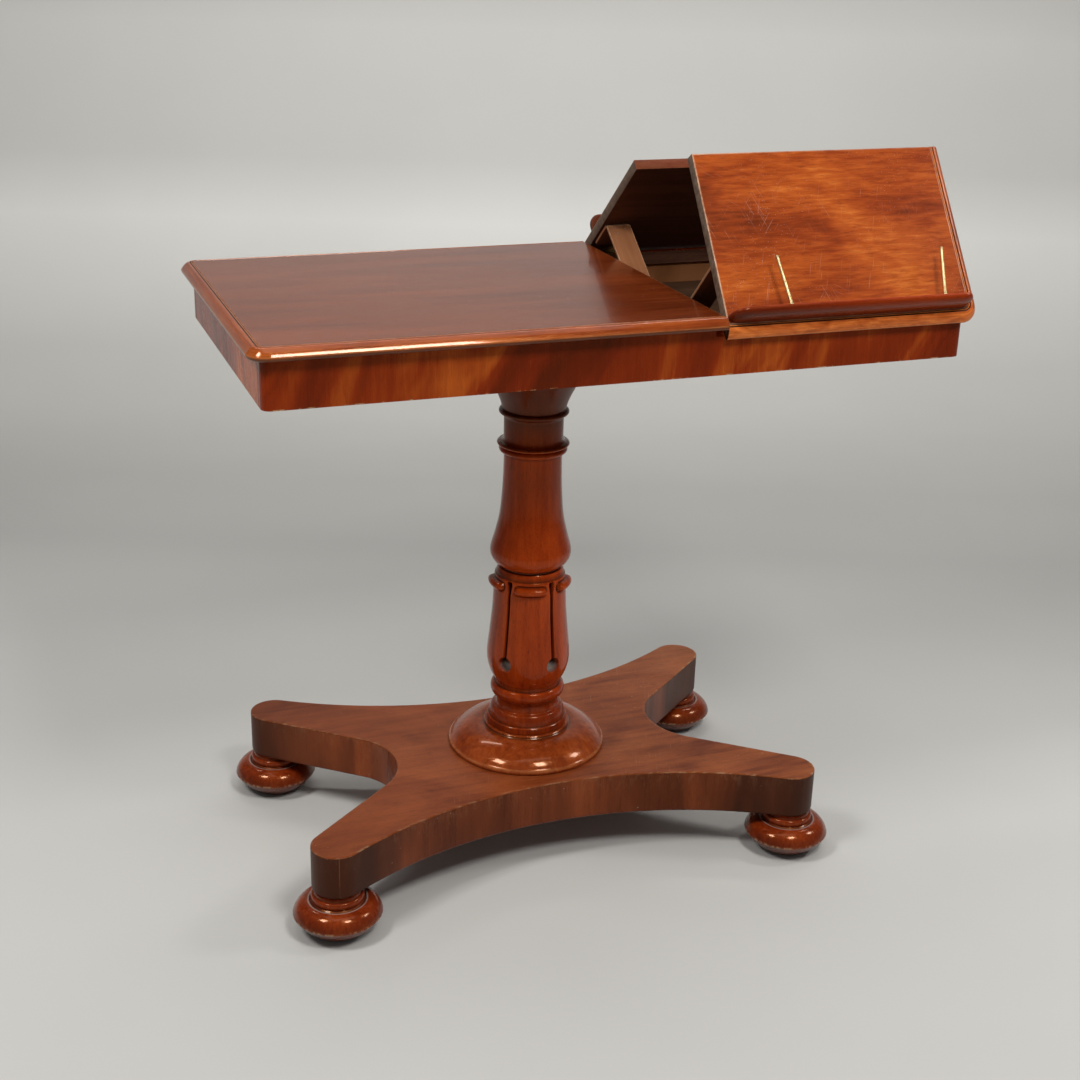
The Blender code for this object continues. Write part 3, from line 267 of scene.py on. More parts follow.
def brassFinish(name, bright, dull, rough):
    made, tree, shader = blankFinish(name)
    spot = objectSpace(tree)
    tarnish = grainNoise(tree, stretched(tree, spot, 160.0, 160.0), 5.0, 0.65)
    scratch = grainNoise(tree, stretched(tree, spot, 300.0, 700.0), 3.0)
    tree.links.new(ramp(tree, tarnish, ((0.36, dull), (0.58, bright))), shader.inputs["Base Color"])
    tree.links.new(work(tree, "MULTIPLY_ADD", tarnish, 0.25, rough), shader.inputs["Roughness"])
    bump = addNode(tree, "ShaderNodeBump", {"Strength": 0.05, "Distance": 0.0002, "Height": scratch})
    tree.links.new(bump.outputs[0], shader.inputs["Normal"])
    shader.inputs["Metallic"].default_value = 1.0
    return made


# finishes of this table; along the grain the figure is long, across it is short
evenStops = (0.28, 0.45, 0.62, 0.80)
lateStops = (0.28, 0.46, 0.62, 0.80)


def toned(stops, *litAndShadedTones):
    # dark to light wood at four stops of the figure
    return tuple(zip(stops, litAndShadedTones))


redFigure = toned((0.28, 0.45, 0.6, 0.78), (0.07, 0.01, 0.002), (0.13, 0.021, 0.004), (0.185, 0.034, 0.007),
                  (0.27, 0.06, 0.012))
slopeFigure = toned((0.32, 0.43, 0.55, 0.67), (0.115, 0.0125, 0.0025), (0.235, 0.03, 0.0041),
                    (0.385, 0.069, 0.0084), (0.56, 0.148, 0.0225))
mouldFigure = toned(lateStops, (0.108, 0.0129, 0.0017), (0.225, 0.0361, 0.0051), (0.342, 0.0714, 0.011),
                    (0.486, 0.1333, 0.0255))
# golden figure of the slope mouldings, partly real and partly painted light, brighter than any real wood
goldLitFigure = toned(lateStops, (0.293, 0.0456, 0.0067), (0.587, 0.1232, 0.0214), (0.851, 0.2276, 0.0442),
                   (1.073, 0.4125, 0.102))
flameFigure = toned((0.35, 0.46, 0.57, 0.69), (0.105, 0.009, 0.001), (0.18, 0.015, 0.002),
                    (0.275, 0.028, 0.003), (0.53, 0.105, 0.0125))
darkFigure = toned(evenStops, (0.169, 0.0147, 0.0022), (0.316, 0.0328, 0.0033), (0.452, 0.0542, 0.0055),
                   (0.61, 0.096, 0.0121))
bunFigure = toned(lateStops, (0.088, 0.0096, 0.0017), (0.176, 0.0208, 0.0034), (0.264, 0.0376, 0.0059),
                  (0.368, 0.068, 0.0127))
collarFigure = toned(lateStops, (0.112, 0.016, 0.0032), (0.226, 0.035, 0.0064), (0.34, 0.063, 0.0112),
                     (0.47, 0.113, 0.024))
ledgeFigure = toned(lateStops, (0.1, 0.0088, 0.0012), (0.19, 0.018, 0.0024), (0.27, 0.03, 0.0038),
                    (0.39, 0.052, 0.0078))
deckFigure = toned((0.34, 0.46, 0.58, 0.74), (0.152, 0.0245, 0.0062), (0.282, 0.065, 0.0182),
                   (0.38, 0.099, 0.0295), (0.5, 0.148, 0.049))
bandFigure = toned((0.33, 0.45, 0.58, 0.72), (0.034, 0.0056, 0.0022), (0.096, 0.018, 0.0058),
                   (0.176, 0.036, 0.0112), (0.3, 0.066, 0.02))
brownFigure = toned(evenStops, (0.019, 0.0093, 0.0056), (0.039, 0.0204, 0.012), (0.072, 0.0374, 0.022),
                    (0.117, 0.0646, 0.036))
stripFigure = toned(evenStops, (0.034, 0.014, 0.0085), (0.07, 0.031, 0.019), (0.128, 0.058, 0.035),
                    (0.205, 0.098, 0.058))
endFigure = toned(evenStops, (0.028, 0.02, 0.015), (0.058, 0.042, 0.032), (0.1, 0.078, 0.06),
                  (0.2, 0.16, 0.13))
maroonFigure = toned(evenStops, (0.045, 0.005, 0.003), (0.09, 0.011, 0.006), (0.13, 0.018, 0.009),
                     (0.19, 0.034, 0.017))
dealFigure = toned(evenStops, (0.118, 0.042, 0.015), (0.184, 0.0715, 0.0275), (0.25, 0.102, 0.041),
                   (0.342, 0.153, 0.064))
strutFigure = toned(evenStops, (0.128, 0.0447, 0.0189), (0.196, 0.074, 0.0315), (0.255, 0.1049, 0.0477),
                    (0.323, 0.1462, 0.072))
darkPore = (0.016, 0.004, 0.002)
palePatch = (0.40, 0.17, 0.075)
plain = dict(drift=(2.4, 11.0), streak=(5.0, 130.0), pores=(80.0, 1500.0), rough=(0.16, 0.30),
             poreColour=darkPore)
railInner = (abs(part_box("frieze_front_rail")[1].y), abs(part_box("frieze_left_rail")[1].x))

topWood = woodFinish("fixedTopPolish", plain, colours=redFigure, seed=1.3, worn=palePatch,
                     specks=(260.0, 0.04), rough=(0.10, 0.20), smear=0.10, polish=0.25,
                     glow=(1.0, 0.7, 0.55))
slopeWood = woodFinish("slopePolish", plain, colours=slopeFigure, seed=3.1, worn=(0.50, 0.30, 0.19),
                       specks=(480.0, 0.22), drift=(5.0, 8.0), streak=(26.0, 200.0), driftShare=0.6,
                       twist=1.2, scratches=((0.5, 0.42), (-0.9, 0.36), (1.9, 0.34), (1.2, 0.3)),
                       rough=(0.2, 0.34))
# the worn colour also paints part of the highlights on the inner bead and the nose
mouldWood = woodFinish("mouldingPolish", plain, colours=mouldFigure, seed=4.7, worn=(0.50, 0.19, 0.06),
                       streak=(9.0, 240.0), drift=(9.0, 26.0), rough=(0.05, 0.11), smear=0.04, polish=0.45,
                       polishRough=0.05)
goldLitWood = woodFinish("slopeMouldingPolish", plain, colours=goldLitFigure, seed=4.2, worn=(0.60, 0.26, 0.09),
                      streak=(16.0, 260.0), drift=(22.0, 40.0), driftShare=0.6, twist=1.6,
                      rough=(0.16, 0.28), smear=0.06)
endMouldWood = woodFinish("slopeEndMoulding", plain, colours=slopeFigure, seed=4.9,
    grimeColour=(0.085, 0.010, 0.003), worn=(0.24, 0.045, 0.010), drift=(9.0, 26.0), rough=(0.2, 0.3))
# its bright red worn colour paints part of the highlight along the ledge's top arris
ledgeWood = woodFinish("ledgePolish", plain, colours=ledgeFigure, seed=5.9, worn=(0.46, 0.065, 0.020),
                       rough=(0.14, 0.24), smear=0.06, sheen=0.28, glow=(1.0, 0.36, 0.12))
stripWood = woodFinish("wellStripPolish", plain, colours=stripFigure, lie=(0, 2, 1), seed=6.7,
                       rough=(0.16, 0.28))
flameLook = dict(plain, colours=flameFigure, drift=(3.0, 10.5), streak=(9.0, 150.0), driftShare=0.88,
                 nicks=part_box("frieze_front_rail")[0].z, rough=(0.14, 0.26), poreDark=0.25, twist=1.2,
                 lean=-0.4)
flameLong = woodFinish("friezeFlameLong", flameLook, lie=(2, 0, 1), seed=2.3,
                       bare=(1, railInner[0] + 0.0008))
flameEnd = woodFinish("friezeFlameEnd", flameLook, lie=(2, 1, 0), seed=6.1, bare=(0, railInner[1] + 0.0008))
collarWood = woodFinish("collarPolish", plain, colours=collarFigure, seed=11.3, drift=(14.0, 14.0),
                        worn=(0.50, 0.16, 0.05), rough=(0.05, 0.13), smear=0.05, polish=0.25,
                        specks=(300.0, 0.06))
columnWood = woodFinish("columnPolish", plain, colours=darkFigure, seed=7.7, drift=(5.0, 30.0),
                        worn=(0.50, 0.13, 0.03), rough=(0.08, 0.17), smear=0.06, polish=0.17,
                        polishRough=0.05, sheen=0.3)
footWood = woodFinish("footPolish", plain, colours=bunFigure, seed=8.3, drift=(26.0, 26.0),
                      streak=(40.0, 220.0), worn=(0.55, 0.34, 0.19), chips=((0.48, 0.06), (0.60, 1.0)),
                      rough=(0.06, 0.14), smear=0.05, polish=0.2, grimeColour=(0.040, 0.009, 0.005))
platformTopWood = woodFinish("platformTopPolish", plain, colours=deckFigure, seed=9.1,
    worn=(0.52, 0.32, 0.19), specks=(240.0, 0.12), rough=(0.22, 0.36), polish=0.02, drift=(5.0, 9.0),
    streak=(9.0, 90.0), driftShare=0.6, twist=1.3, sheen=0.27, glow=(1.0, 0.5, 0.22),
    chips=((0.50, 0.05), (0.62, 1.0)), faded=((0.58, 0.48, 0.44), (0.97, 0.98, 0.92)),
    scratches=((0.3, 0.3), (-1.2, 0.25)))
underWood = woodFinish("slopeUnderside", plain, colours=stripFigure, seed=12.1, rough=(0.45, 0.6),
                       polish=0.0, worn=(0.10, 0.05, 0.03))
blackEnd = woodFinish("slopeEndBlack", plain, colours=brownFigure, seed=12.5, rough=(0.4, 0.6), polish=0.0,
                      worn=(0.60, 0.46, 0.34))
endWood = woodFinish("slopeEndGrain", plain, colours=endFigure, seed=12.9, rough=(0.5, 0.7), polish=0.0,
                     worn=(0.42, 0.30, 0.21), streak=(60.0, 60.0))
edgeWood = woodFinish("slopeFreeEdge", plain, colours=maroonFigure, seed=13.3, rough=(0.22, 0.36),
                      polish=0.1, worn=(0.30, 0.12, 0.06))
stainedUnder = woodFinish("stainedUnderside", plain, colours=brownFigure, lie=(0, 1, 2), seed=13.7,
    rough=(0.5, 0.7), polish=0.0)
bareLook = dict(plain, colours=dealFigure, rough=(0.6, 0.8), polish=0.0, poreColour=(0.11, 0.05, 0.022),
                bump=0.25)
dealWood = woodFinish("bareDeal", bareLook, lie=(0, 1, 2), seed=14.9)
dealAcross = woodFinish("bareDealAcross", bareLook, lie=(1, 0, 2), seed=15.7)
strutWood = woodFinish("strutWood", plain, colours=strutFigure, seed=16.3, rough=(0.5, 0.68), polish=0.0,
                       poreColour=(0.15, 0.06, 0.028), poreDark=0.3, worn=(0.58, 0.36, 0.22), bump=0.22)
brass = brassFinish("rubbedBrass", (0.54, 0.41, 0.21), (0.33, 0.23, 0.10), 0.28)
oldBrass = brassFinish("dullBrass", (0.58, 0.41, 0.17), (0.22, 0.14, 0.06), 0.30)
screwSteel = brassFinish("dullSteel", (0.34, 0.32, 0.30), (0.13, 0.11, 0.10), 0.34)
print("finishes made")


# ways of making a piece
carriedKinds = (("grain", "FLOAT_VECTOR"), ("wearAndHighlight", "FLOAT"), ("grime", "FLOAT"), ("dust", "FLOAT"))


def addPiece(name, spots, faces, finish, body, stands=(), place=None, crease=32.0, others=(),
             choose=None):
    # each spot is a point, then as much as it carries of grain, wear with some painted highlight, grime with
    # painted shade, and dust
    points, *rows = zip(*spots)
    data = bpy.data.meshes.new(name)
    data.from_pydata([tuple(point) for point in points], [], faces)
    for (label, kind), values in zip(carriedKinds, rows):
        layer = data.attributes.new(label, kind, "POINT")
        if kind == "FLOAT_VECTOR":
            layer.data.foreach_set("vector", [number for value in values for number in value])
        else:
            layer.data.foreach_set("value", values)
    shell = bmesh.new()
    shell.from_mesh(data)
    bmesh.ops.recalc_face_normals(shell, faces=shell.faces)
    shell.to_mesh(data)
    shell.free()
    for each in (finish, *others):
        data.materials.append(each)
    if choose:
        for face in data.polygons:
            face.material_index = choose(face.center, face.normal)
    data.shade_smooth()
    data.set_sharp_from_angle(angle=math.radians(crease))
    piece = bpy.data.objects.new(name, data)
    bpy.context.scene.collection.objects.link(piece)
    if place is not None:
        piece.matrix_world = place
    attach(piece, body)
    if stands:
        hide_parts(*stands)
    return piece


def ringFaces(rows, size, closedRows=False):
    faces = []
    spans = rows if closedRows else rows - 1
    for row in range(spans):
        low, high = row * size, (row + 1) % rows * size
        for step in range(size):
            after = (step + 1) % size
            faces.append((low + step, low + after, high + after, high + step))
    if not closedRows:
        faces.append(tuple(range(size))[::-1])
        faces.append(tuple(range((rows - 1) * size, rows * size)))
    return faces


def carve(piece, cutters):
    # cuts closed meshes out of a piece for good
    for points, faces in cutters:
        data = bpy.data.meshes.new("cutter")
        data.from_pydata(points, [], faces)
        tool = bpy.data.objects.new("cutter", data)
        bpy.context.scene.collection.objects.link(tool)
        tool.matrix_world = piece.matrix_world
        step = piece.modifiers.new("cut", "BOOLEAN")
        step.object, step.operation, step.solver = tool, "DIFFERENCE", "EXACT"
        bpy.context.view_layer.update()
        shaped = bpy.data.meshes.new_from_object(piece.evaluated_get(bpy.context.evaluated_depsgraph_get()))
        piece.modifiers.clear()
        piece.data = shaped
        bpy.data.objects.remove(tool, do_unlink=True)
    piece.data.set_sharp_from_angle(angle=math.radians(32))


def block(low, high):
    corners = ((low[0], low[1]), (high[0], low[1]), (high[0], high[1]), (low[0], high[1]))
    return [(x, y, z) for z in (low[2], high[2]) for x, y in corners], ringFaces(2, 4)


def quarterCurve(start, end, steps, flatFirst):
    found = []
    for step in range(steps + 1):
        turn = math.pi / 2 * step / steps
        run, rise = math.sin(turn), 1 - math.cos(turn)
        if not flatFirst:
            run, rise = rise, run
        found.append((start[0] + (end[0] - start[0]) * run, start[1] + (end[1] - start[1]) * rise))
    return found


def beadCurve(root, crown, low, high, steps):
    turns = [math.pi * step / steps for step in range(steps + 1)]
    tall = (high - low) / 2
    return [(root + (crown - root) * math.sin(turn), low + tall * (1 - math.cos(turn))) for turn in turns]


def flowing(knots, steps):
    ends = [knots[0]] + list(knots) + [knots[-1]]
    found = [knots[0]]
    for before, start, end, after in zip(ends, ends[1:], ends[2:], ends[3:]):
        for step in range(1, steps + 1):
            t = step / steps
            weights = ((-t + 2 * t * t - t ** 3) / 2, (2 - 5 * t * t + 3 * t ** 3) / 2,
                       (t + 4 * t * t - 3 * t ** 3) / 2, (-t * t + t ** 3) / 2)
            found.append(tuple(sum(w * c[k] for w, c in zip(weights, (before, start, end, after)))
                               for k in (0, 1)))
    return found


def easedStep(low, high, value):
    t = min(1.0, max(0.0, (value - low) / (high - low)))
    return t * t * (3 - 2 * t)


def crevices(profile):
    # how deep each point of a profile lies in a sharp inner corner, spread a little up and down; turned
    # pieces darken these corners as painted shade, together with grime
    sharp = [0.0] * len(profile)
    for number in range(1, len(profile) - 1):
        before = Vector(profile[number]) - Vector(profile[number - 1])
        after = Vector(profile[number + 1]) - Vector(profile[number])
        if before.length > 1e-7 and after.length > 1e-7:
            sharp[number] = max(0.0, -before.normalized().cross(after.normalized()) - 0.12)
    found = []
    for spot in profile:
        near = [depth * max(0.0, 1 - math.dist(spot, other) / 0.0021)
                for other, depth in zip(profile, sharp) if depth]
        found.append(min(1.0, 1.3 * max(near, default=0.0)))
    return found


def turnedPiece(name, profile, centre, finish, body, stands, segments=96, shape=None, worn=None,
                closed=False, place=None, turns=None, soiledAndShaded=0.0):
    # profile runs up the axis as radius and height; shape may change the radius round the axis
    spots = []
    turns = turns or [2 * math.pi * step / segments for step in range(segments)]
    for (radius, height), crevice in zip(profile, crevices(profile)):
        rubbed = worn(radius, height) if worn else 0.0
        for turn in turns:
            real, dirtAndShade, rubAndHighlight, powder = shape(radius, height, turn) if shape else (radius, 0.0, 0.0, 0.0)
            x, y = real * math.cos(turn), real * math.sin(turn)
            point = (centre[0] + x, centre[1] + y, centre[2] + height)
            # sharp inner corners take painted shade, with grime
            spots.append((point, (height, x, y), max(rubAndHighlight, rubbed), max(dirtAndShade, crevice * soiledAndShaded), powder))
    faces = ringFaces(len(profile), len(turns), closedRows=closed)
    addPiece(name, spots, faces, finish, body, stands, place)


# feet
foot = dict(arrisRadius=0.0539, arrisHeight=0.0242, baseRadius=0.0300, lowRadius=0.0335, lowHeight=0.0026,
            cone=0.22, shoulderRadius=0.0345, shoulderHeight=0.042, coveRadius=0.0300, neckRadius=0.0285,
            collarRadius=0.0322, neckShare=0.62, swell=0.0016, rubTall=0.0022)


def footProfile(height):
    base, low = foot["baseRadius"], (foot["lowRadius"], foot["lowHeight"])
    arris = (foot["arrisRadius"], foot["arrisHeight"])
    shoulder = (foot["shoulderRadius"], foot["shoulderHeight"])
    neckLow = shoulder[1] + (height - shoulder[1]) * foot["neckShare"]
    profile = [(base * 0.9, 0.0), (base, 0.0006), low]
    for share in [step / 9 for step in range(1, 9)]:  # the lower face swells a little
        swell = foot["swell"] * math.sin(math.pi * share)
        profile.append((low[0] + (arris[0] - low[0]) * share + swell * 0.7,
                        low[1] + (arris[1] - low[1]) * share - swell * 0.7))
    profile += [(arris[0] - 0.0002, arris[1] - 0.0004), arris]
    head = (shoulder[0] + 0.0012, shoulder[1])
    for radius, up in quarterCurve(arris, head, 22, False)[1:]:  # the dome leaves the arris at an angle
        slant = arris[0] + (head[0] - arris[0]) * (up - arris[1]) / (head[1] - arris[1])
        profile.append((radius + (slant - radius) * foot["cone"], up))
    # fine groove
    profile += [(shoulder[0], shoulder[1] - 0.0002), (shoulder[0] - 0.0012, shoulder[1] - 0.0016)]
    profile += [(shoulder[0] - 0.0024, shoulder[1] - 0.0010),
                (foot["coveRadius"] + 0.001, shoulder[1] + 0.0004)]
    profile += beadCurve(foot["coveRadius"], foot["collarRadius"], shoulder[1] + 0.0008, neckLow, 9)
    profile += [(foot["neckRadius"], neckLow + 0.0006),
                (foot["neckRadius"] - 0.0008, (neckLow + height) / 2)]
    profile += [(foot["neckRadius"], height - 0.0004), (foot["neckRadius"] - 0.004, height - 0.0003)]
    return profile


def footWear(radius, height):
    if radius <= foot["arrisRadius"] - 0.002:
        return 0.0
    return max(0.0, 1 - abs(height - foot["arrisHeight"]) / foot["rubTall"])


def footMarks(radius, height, turn):
    # painted shade below the arris and in the groove, darker towards the rim, dust along the groove's lip
    level = abs(height - foot["shoulderHeight"]) < 0.0004
    lip = level and abs(radius - foot["shoulderRadius"] - 0.0002) < 0.0011
    groove = radius < foot["shoulderRadius"] - 0.001 and height < foot["shoulderHeight"]
    rim = 0.4 * easedStep(foot["arrisRadius"] - 0.008, foot["arrisRadius"], radius)
    low = 0.9 - 0.55 * easedStep(0.006, 0.020, height) if height < foot["arrisHeight"] - 0.0008 else 0.0
    return radius, max(low, rim, 0.8 if groove else 0.0), 0.0, 0.5 if lip else 0.0


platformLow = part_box("platform_core_front_left")[0].z
for side in ("front", "rear"):
    for end in ("left", "right"):
        node = "foot_" + side + "_" + end
        low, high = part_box(node)
        middle = ((low.x + high.x) / 2, (low.y + high.y) / 2, 0.0)
        turnedPiece(side + end.title() + "BunFoot", footProfile(platformLow), middle, footWood, "stand",
                    [node], segments=88, worn=footWear, shape=footMarks, soiledAndShaded=0.75)
print("feet turned")


# platform
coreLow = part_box("platform_core_front_left")[0]
veneerLow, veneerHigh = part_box("platform_top_veneer")
platform = dict(armRound=0.031, midDepth=0.124, bayReach=0.180, bayRound=0.080, lowerRound=0.0035,
                topVeneer=0.0016, edgeEase=0.0011, centreX=(veneerLow.x + veneerHigh.x) / 2)
platform["footX"] = (veneerHigh.x - veneerLow.x) / 2 - platform["armRound"]
platform["footY"] = (veneerHigh.y - veneerLow.y) / 2 - platform["armRound"]
platform["top"] = veneerHigh.z


def arcPoints(centre, radius, start, end, steps):
    turns = [start + (end - start) * step / steps for step in range(steps + 1)]
    return [(centre[0] + radius * math.cos(turn), centre[1] + radius * math.sin(turn)) for turn in turns]


def platformEdge(inset):
    footX, footY = platform["footX"], platform["footY"]
    arm, mid = platform["armRound"] - inset, platform["midDepth"] - inset
    bayX, bay = platform["bayReach"] + platform["bayRound"], platform["bayRound"] + inset
    toward = math.atan2(footY, footX - bayX)
    lean = toward + math.acos((bay + arm) / math.hypot(footX - bayX, footY))
    fall = footY - mid
    hollow = (footX ** 2 + fall ** 2 - arm ** 2) / (2 * (arm + fall))
    hollowEnd = math.atan2(footY - mid - hollow, footX)
    first = arcPoints((bayX, 0.0), bay, math.pi, lean, 18)
    first += arcPoints((footX, footY), arm, lean - math.pi, hollowEnd + math.pi, 30)
    first += arcPoints((0.0, mid + hollow), hollow, hollowEnd, -math.pi / 2, 26)[1:]
    half = first + [(-x, y) for x, y in reversed(first[:-1])]
    return half + [(x, -y) for x, y in reversed(half[1:-1])]


def armTip(x, y):
    # how far out on an arm a point is, for the wear that shoes and brooms leave
    reachX, reachY = platform["footX"] + platform["armRound"], platform["footY"] + platform["armRound"]
    return easedStep(0.72, 1.0, math.hypot(x / reachX, y / reachY) / math.sqrt(2) * 1.12)


def platformShell(name, levels, finish, stands, alongEdge, soiledAndShaded):
    spots = []
    for inset, height, rubAndHighlight in levels:
        outline, travel = platformEdge(inset), 0.0
        for number, (x, y) in enumerate(outline):
            travel += math.dist(outline[number - 1], (x, y)) if number else 0.0
            grain, tip = (height, travel, 0.0) if alongEdge else (x, y, height), armTip(x, y)
            spots.append(((platform["centreX"] + x, y, height), grain, rubAndHighlight * (0.5 + 0.5 * tip),
                          soiledAndShaded * tip))
    faces = ringFaces(len(levels), len(spots) // len(levels))
    addPiece(name, spots, faces, finish, "stand", stands)


def veneerJoints():
    # one upright joint on each arm's end, as a distance along the edge
    outline, travel, found = platformEdge(0.0), 0.0, {}
    for number, (x, y) in enumerate(outline):
        travel += math.dist(outline[number - 1], (x, y)) if number else 0.0
        arm = (math.copysign(1, x), math.copysign(1, y))
        across, out = platform["armRound"] * 0.18, platform["armRound"] * 0.98
        spot = (arm[0] * (platform["footX"] + across), arm[1] * (platform["footY"] + out))
        found[arm] = min(found.get(arm, (9.0, 0.0)), (math.dist(spot, (x, y)), travel))
    return [nearest[1] for nearest in found.values()]


platformEdgeWood = woodFinish("platformEdgePolish", plain, colours=bandFigure, seed=10.9, drift=(3.0, 13.0),
    streak=(8.0, 150.0), worn=(0.46, 0.25, 0.13), specks=(200.0, 0.05), driftShare=0.86, poreDark=0.25,
    rough=(0.16, 0.28), joints=veneerJoints(), grimeColour=(0.022, 0.006, 0.004),
    chips=((0.50, 0.05), (0.62, 1.0)), sheen=0.3)
topLow = platform["top"] - platform["topVeneer"]
ease = platform["edgeEase"]
roundTop = coreLow.z + platform["lowerRound"]
roundCurve = quarterCurve((platform["lowerRound"], coreLow.z), (0.0002, roundTop), 7, True)
slabLevels = [(inset, height, 0.0) for inset, height in roundCurve]
slabLevels += [(0.0, roundTop + 0.002, 0.0), (0.0, (roundTop + topLow) / 2, 0.0),
               (0.0, topLow - 0.0004, 0.25), (0.0004, topLow - 0.0001, 0.5)]
slabNodes = ["platform_core_" + arm for arm in ("front_left", "front_right", "rear_left", "rear_right")]
platformShell("platformSlab", slabLevels, platformEdgeWood, slabNodes + ["platform_edge_veneer"], True, 0.8)
deckLevels = [(0.0006, topLow, 0.2), (0.0, topLow + 0.0002, 0.5), (0.0, platform["top"] - ease * 0.8, 0.9),
              (ease * 0.3, platform["top"] - ease * 0.25, 1.0), (ease, platform["top"], 0.7),
              (ease * 3, platform["top"], 0.0)]
platformShell("platformTop", deckLevels, platformTopWood, ["platform_top_veneer"], False, 0.12)
print("platform laid")


# collar
collarLow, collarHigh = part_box("column_collar")
columnX = (collarLow.x + collarHigh.x) / 2
collar = dict(radius=(collarHigh.x - collarLow.x) / 2, rim=0.0055, dome=0.0225, topRadius=0.060,
              stepRadius=0.056, bore=0.0278, cone=0.35)


def collarProfile():
    low, rimTop = platform["top"] + 0.0003, platform["top"] + collar["rim"]
    domeTop = rimTop + collar["dome"]
    rim = collar["radius"]
    profile = [(collar["bore"], low), (rim - 0.0012, low), (rim - 0.0002, low + 0.0008),
               (rim, low + 0.0022), (rim, rimTop - 0.0012)]
    profile += [(rim - 0.0004, rimTop - 0.0002), (rim - 0.0016, rimTop + 0.0004)]
    foot, head = (rim - 0.0022, rimTop + 0.0006), (collar["topRadius"] + 0.0015, domeTop)
    # part way between a quarter round and a cone
    for radius, height in quarterCurve(foot, head, 24, False)[1:]:
        slant = foot[0] + (head[0] - foot[0]) * (height - foot[1]) / (head[1] - foot[1])
        profile.append((radius + (slant - radius) * collar["cone"], height))
    profile += [(collar["topRadius"], domeTop - 0.0003), (collar["stepRadius"] + 0.0008, domeTop - 0.0002),
                (collar["stepRadius"], domeTop + 0.0006)]
    profile += [(collar["stepRadius"], collarHigh.z - 0.0006),
                (collar["stepRadius"] - 0.0006, collarHigh.z), (collar["bore"], collarHigh.z)]
    return profile


def collarWear(radius, height):
    return 0.55 if radius > collar["radius"] - 0.0018 and height > platform["top"] + 0.003 else 0.0


turnedPiece("columnCollar", collarProfile(), (columnX, 0.0, 0.0), collarWood, "stand", ["column_collar"],
            segments=128, soiledAndShaded=0.8, closed=True, worn=collarWear)


# column: a stack of turned mouldings with carved petals round its lower part
columnLow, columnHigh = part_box("column")
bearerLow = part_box("top_bearer")[0]
column = dict(foot=collarHigh.z + 0.0003, top=bearerLow.z - 0.0003, tenon=0.0275, topTenon=0.0250,
              baseRing=(0.052, 0.009), ovolo=(0.0495, 0.0435, 0.015), waist=(0.0405, 0.016),
              torus=(0.0435, 0.0482, 0.017), throat=(0.043, 0.005), bulge=0.053, petalTop=0.0456,
              petalHeight=0.133, lipHeight=0.010, dish=0.0055, tipRing=(0.0437, 0.0415, 0.0085),
              groove=(0.0384, 0.002), bulb=(0.0516, 0.045), shaft=(0.0455, 0.0362),
              lowerBead=(0.0428, 0.010), lowerDisc=(0.0452, 0.005), neck=(0.0370, 0.025), cove=0.005,
              upperDisc=(0.0435, 0.007), capital=(0.0395, 0.062, 0.047), band=0.013, topShade=0.74,
              lowShade=0.34, discZone=(0.118, 0.058))


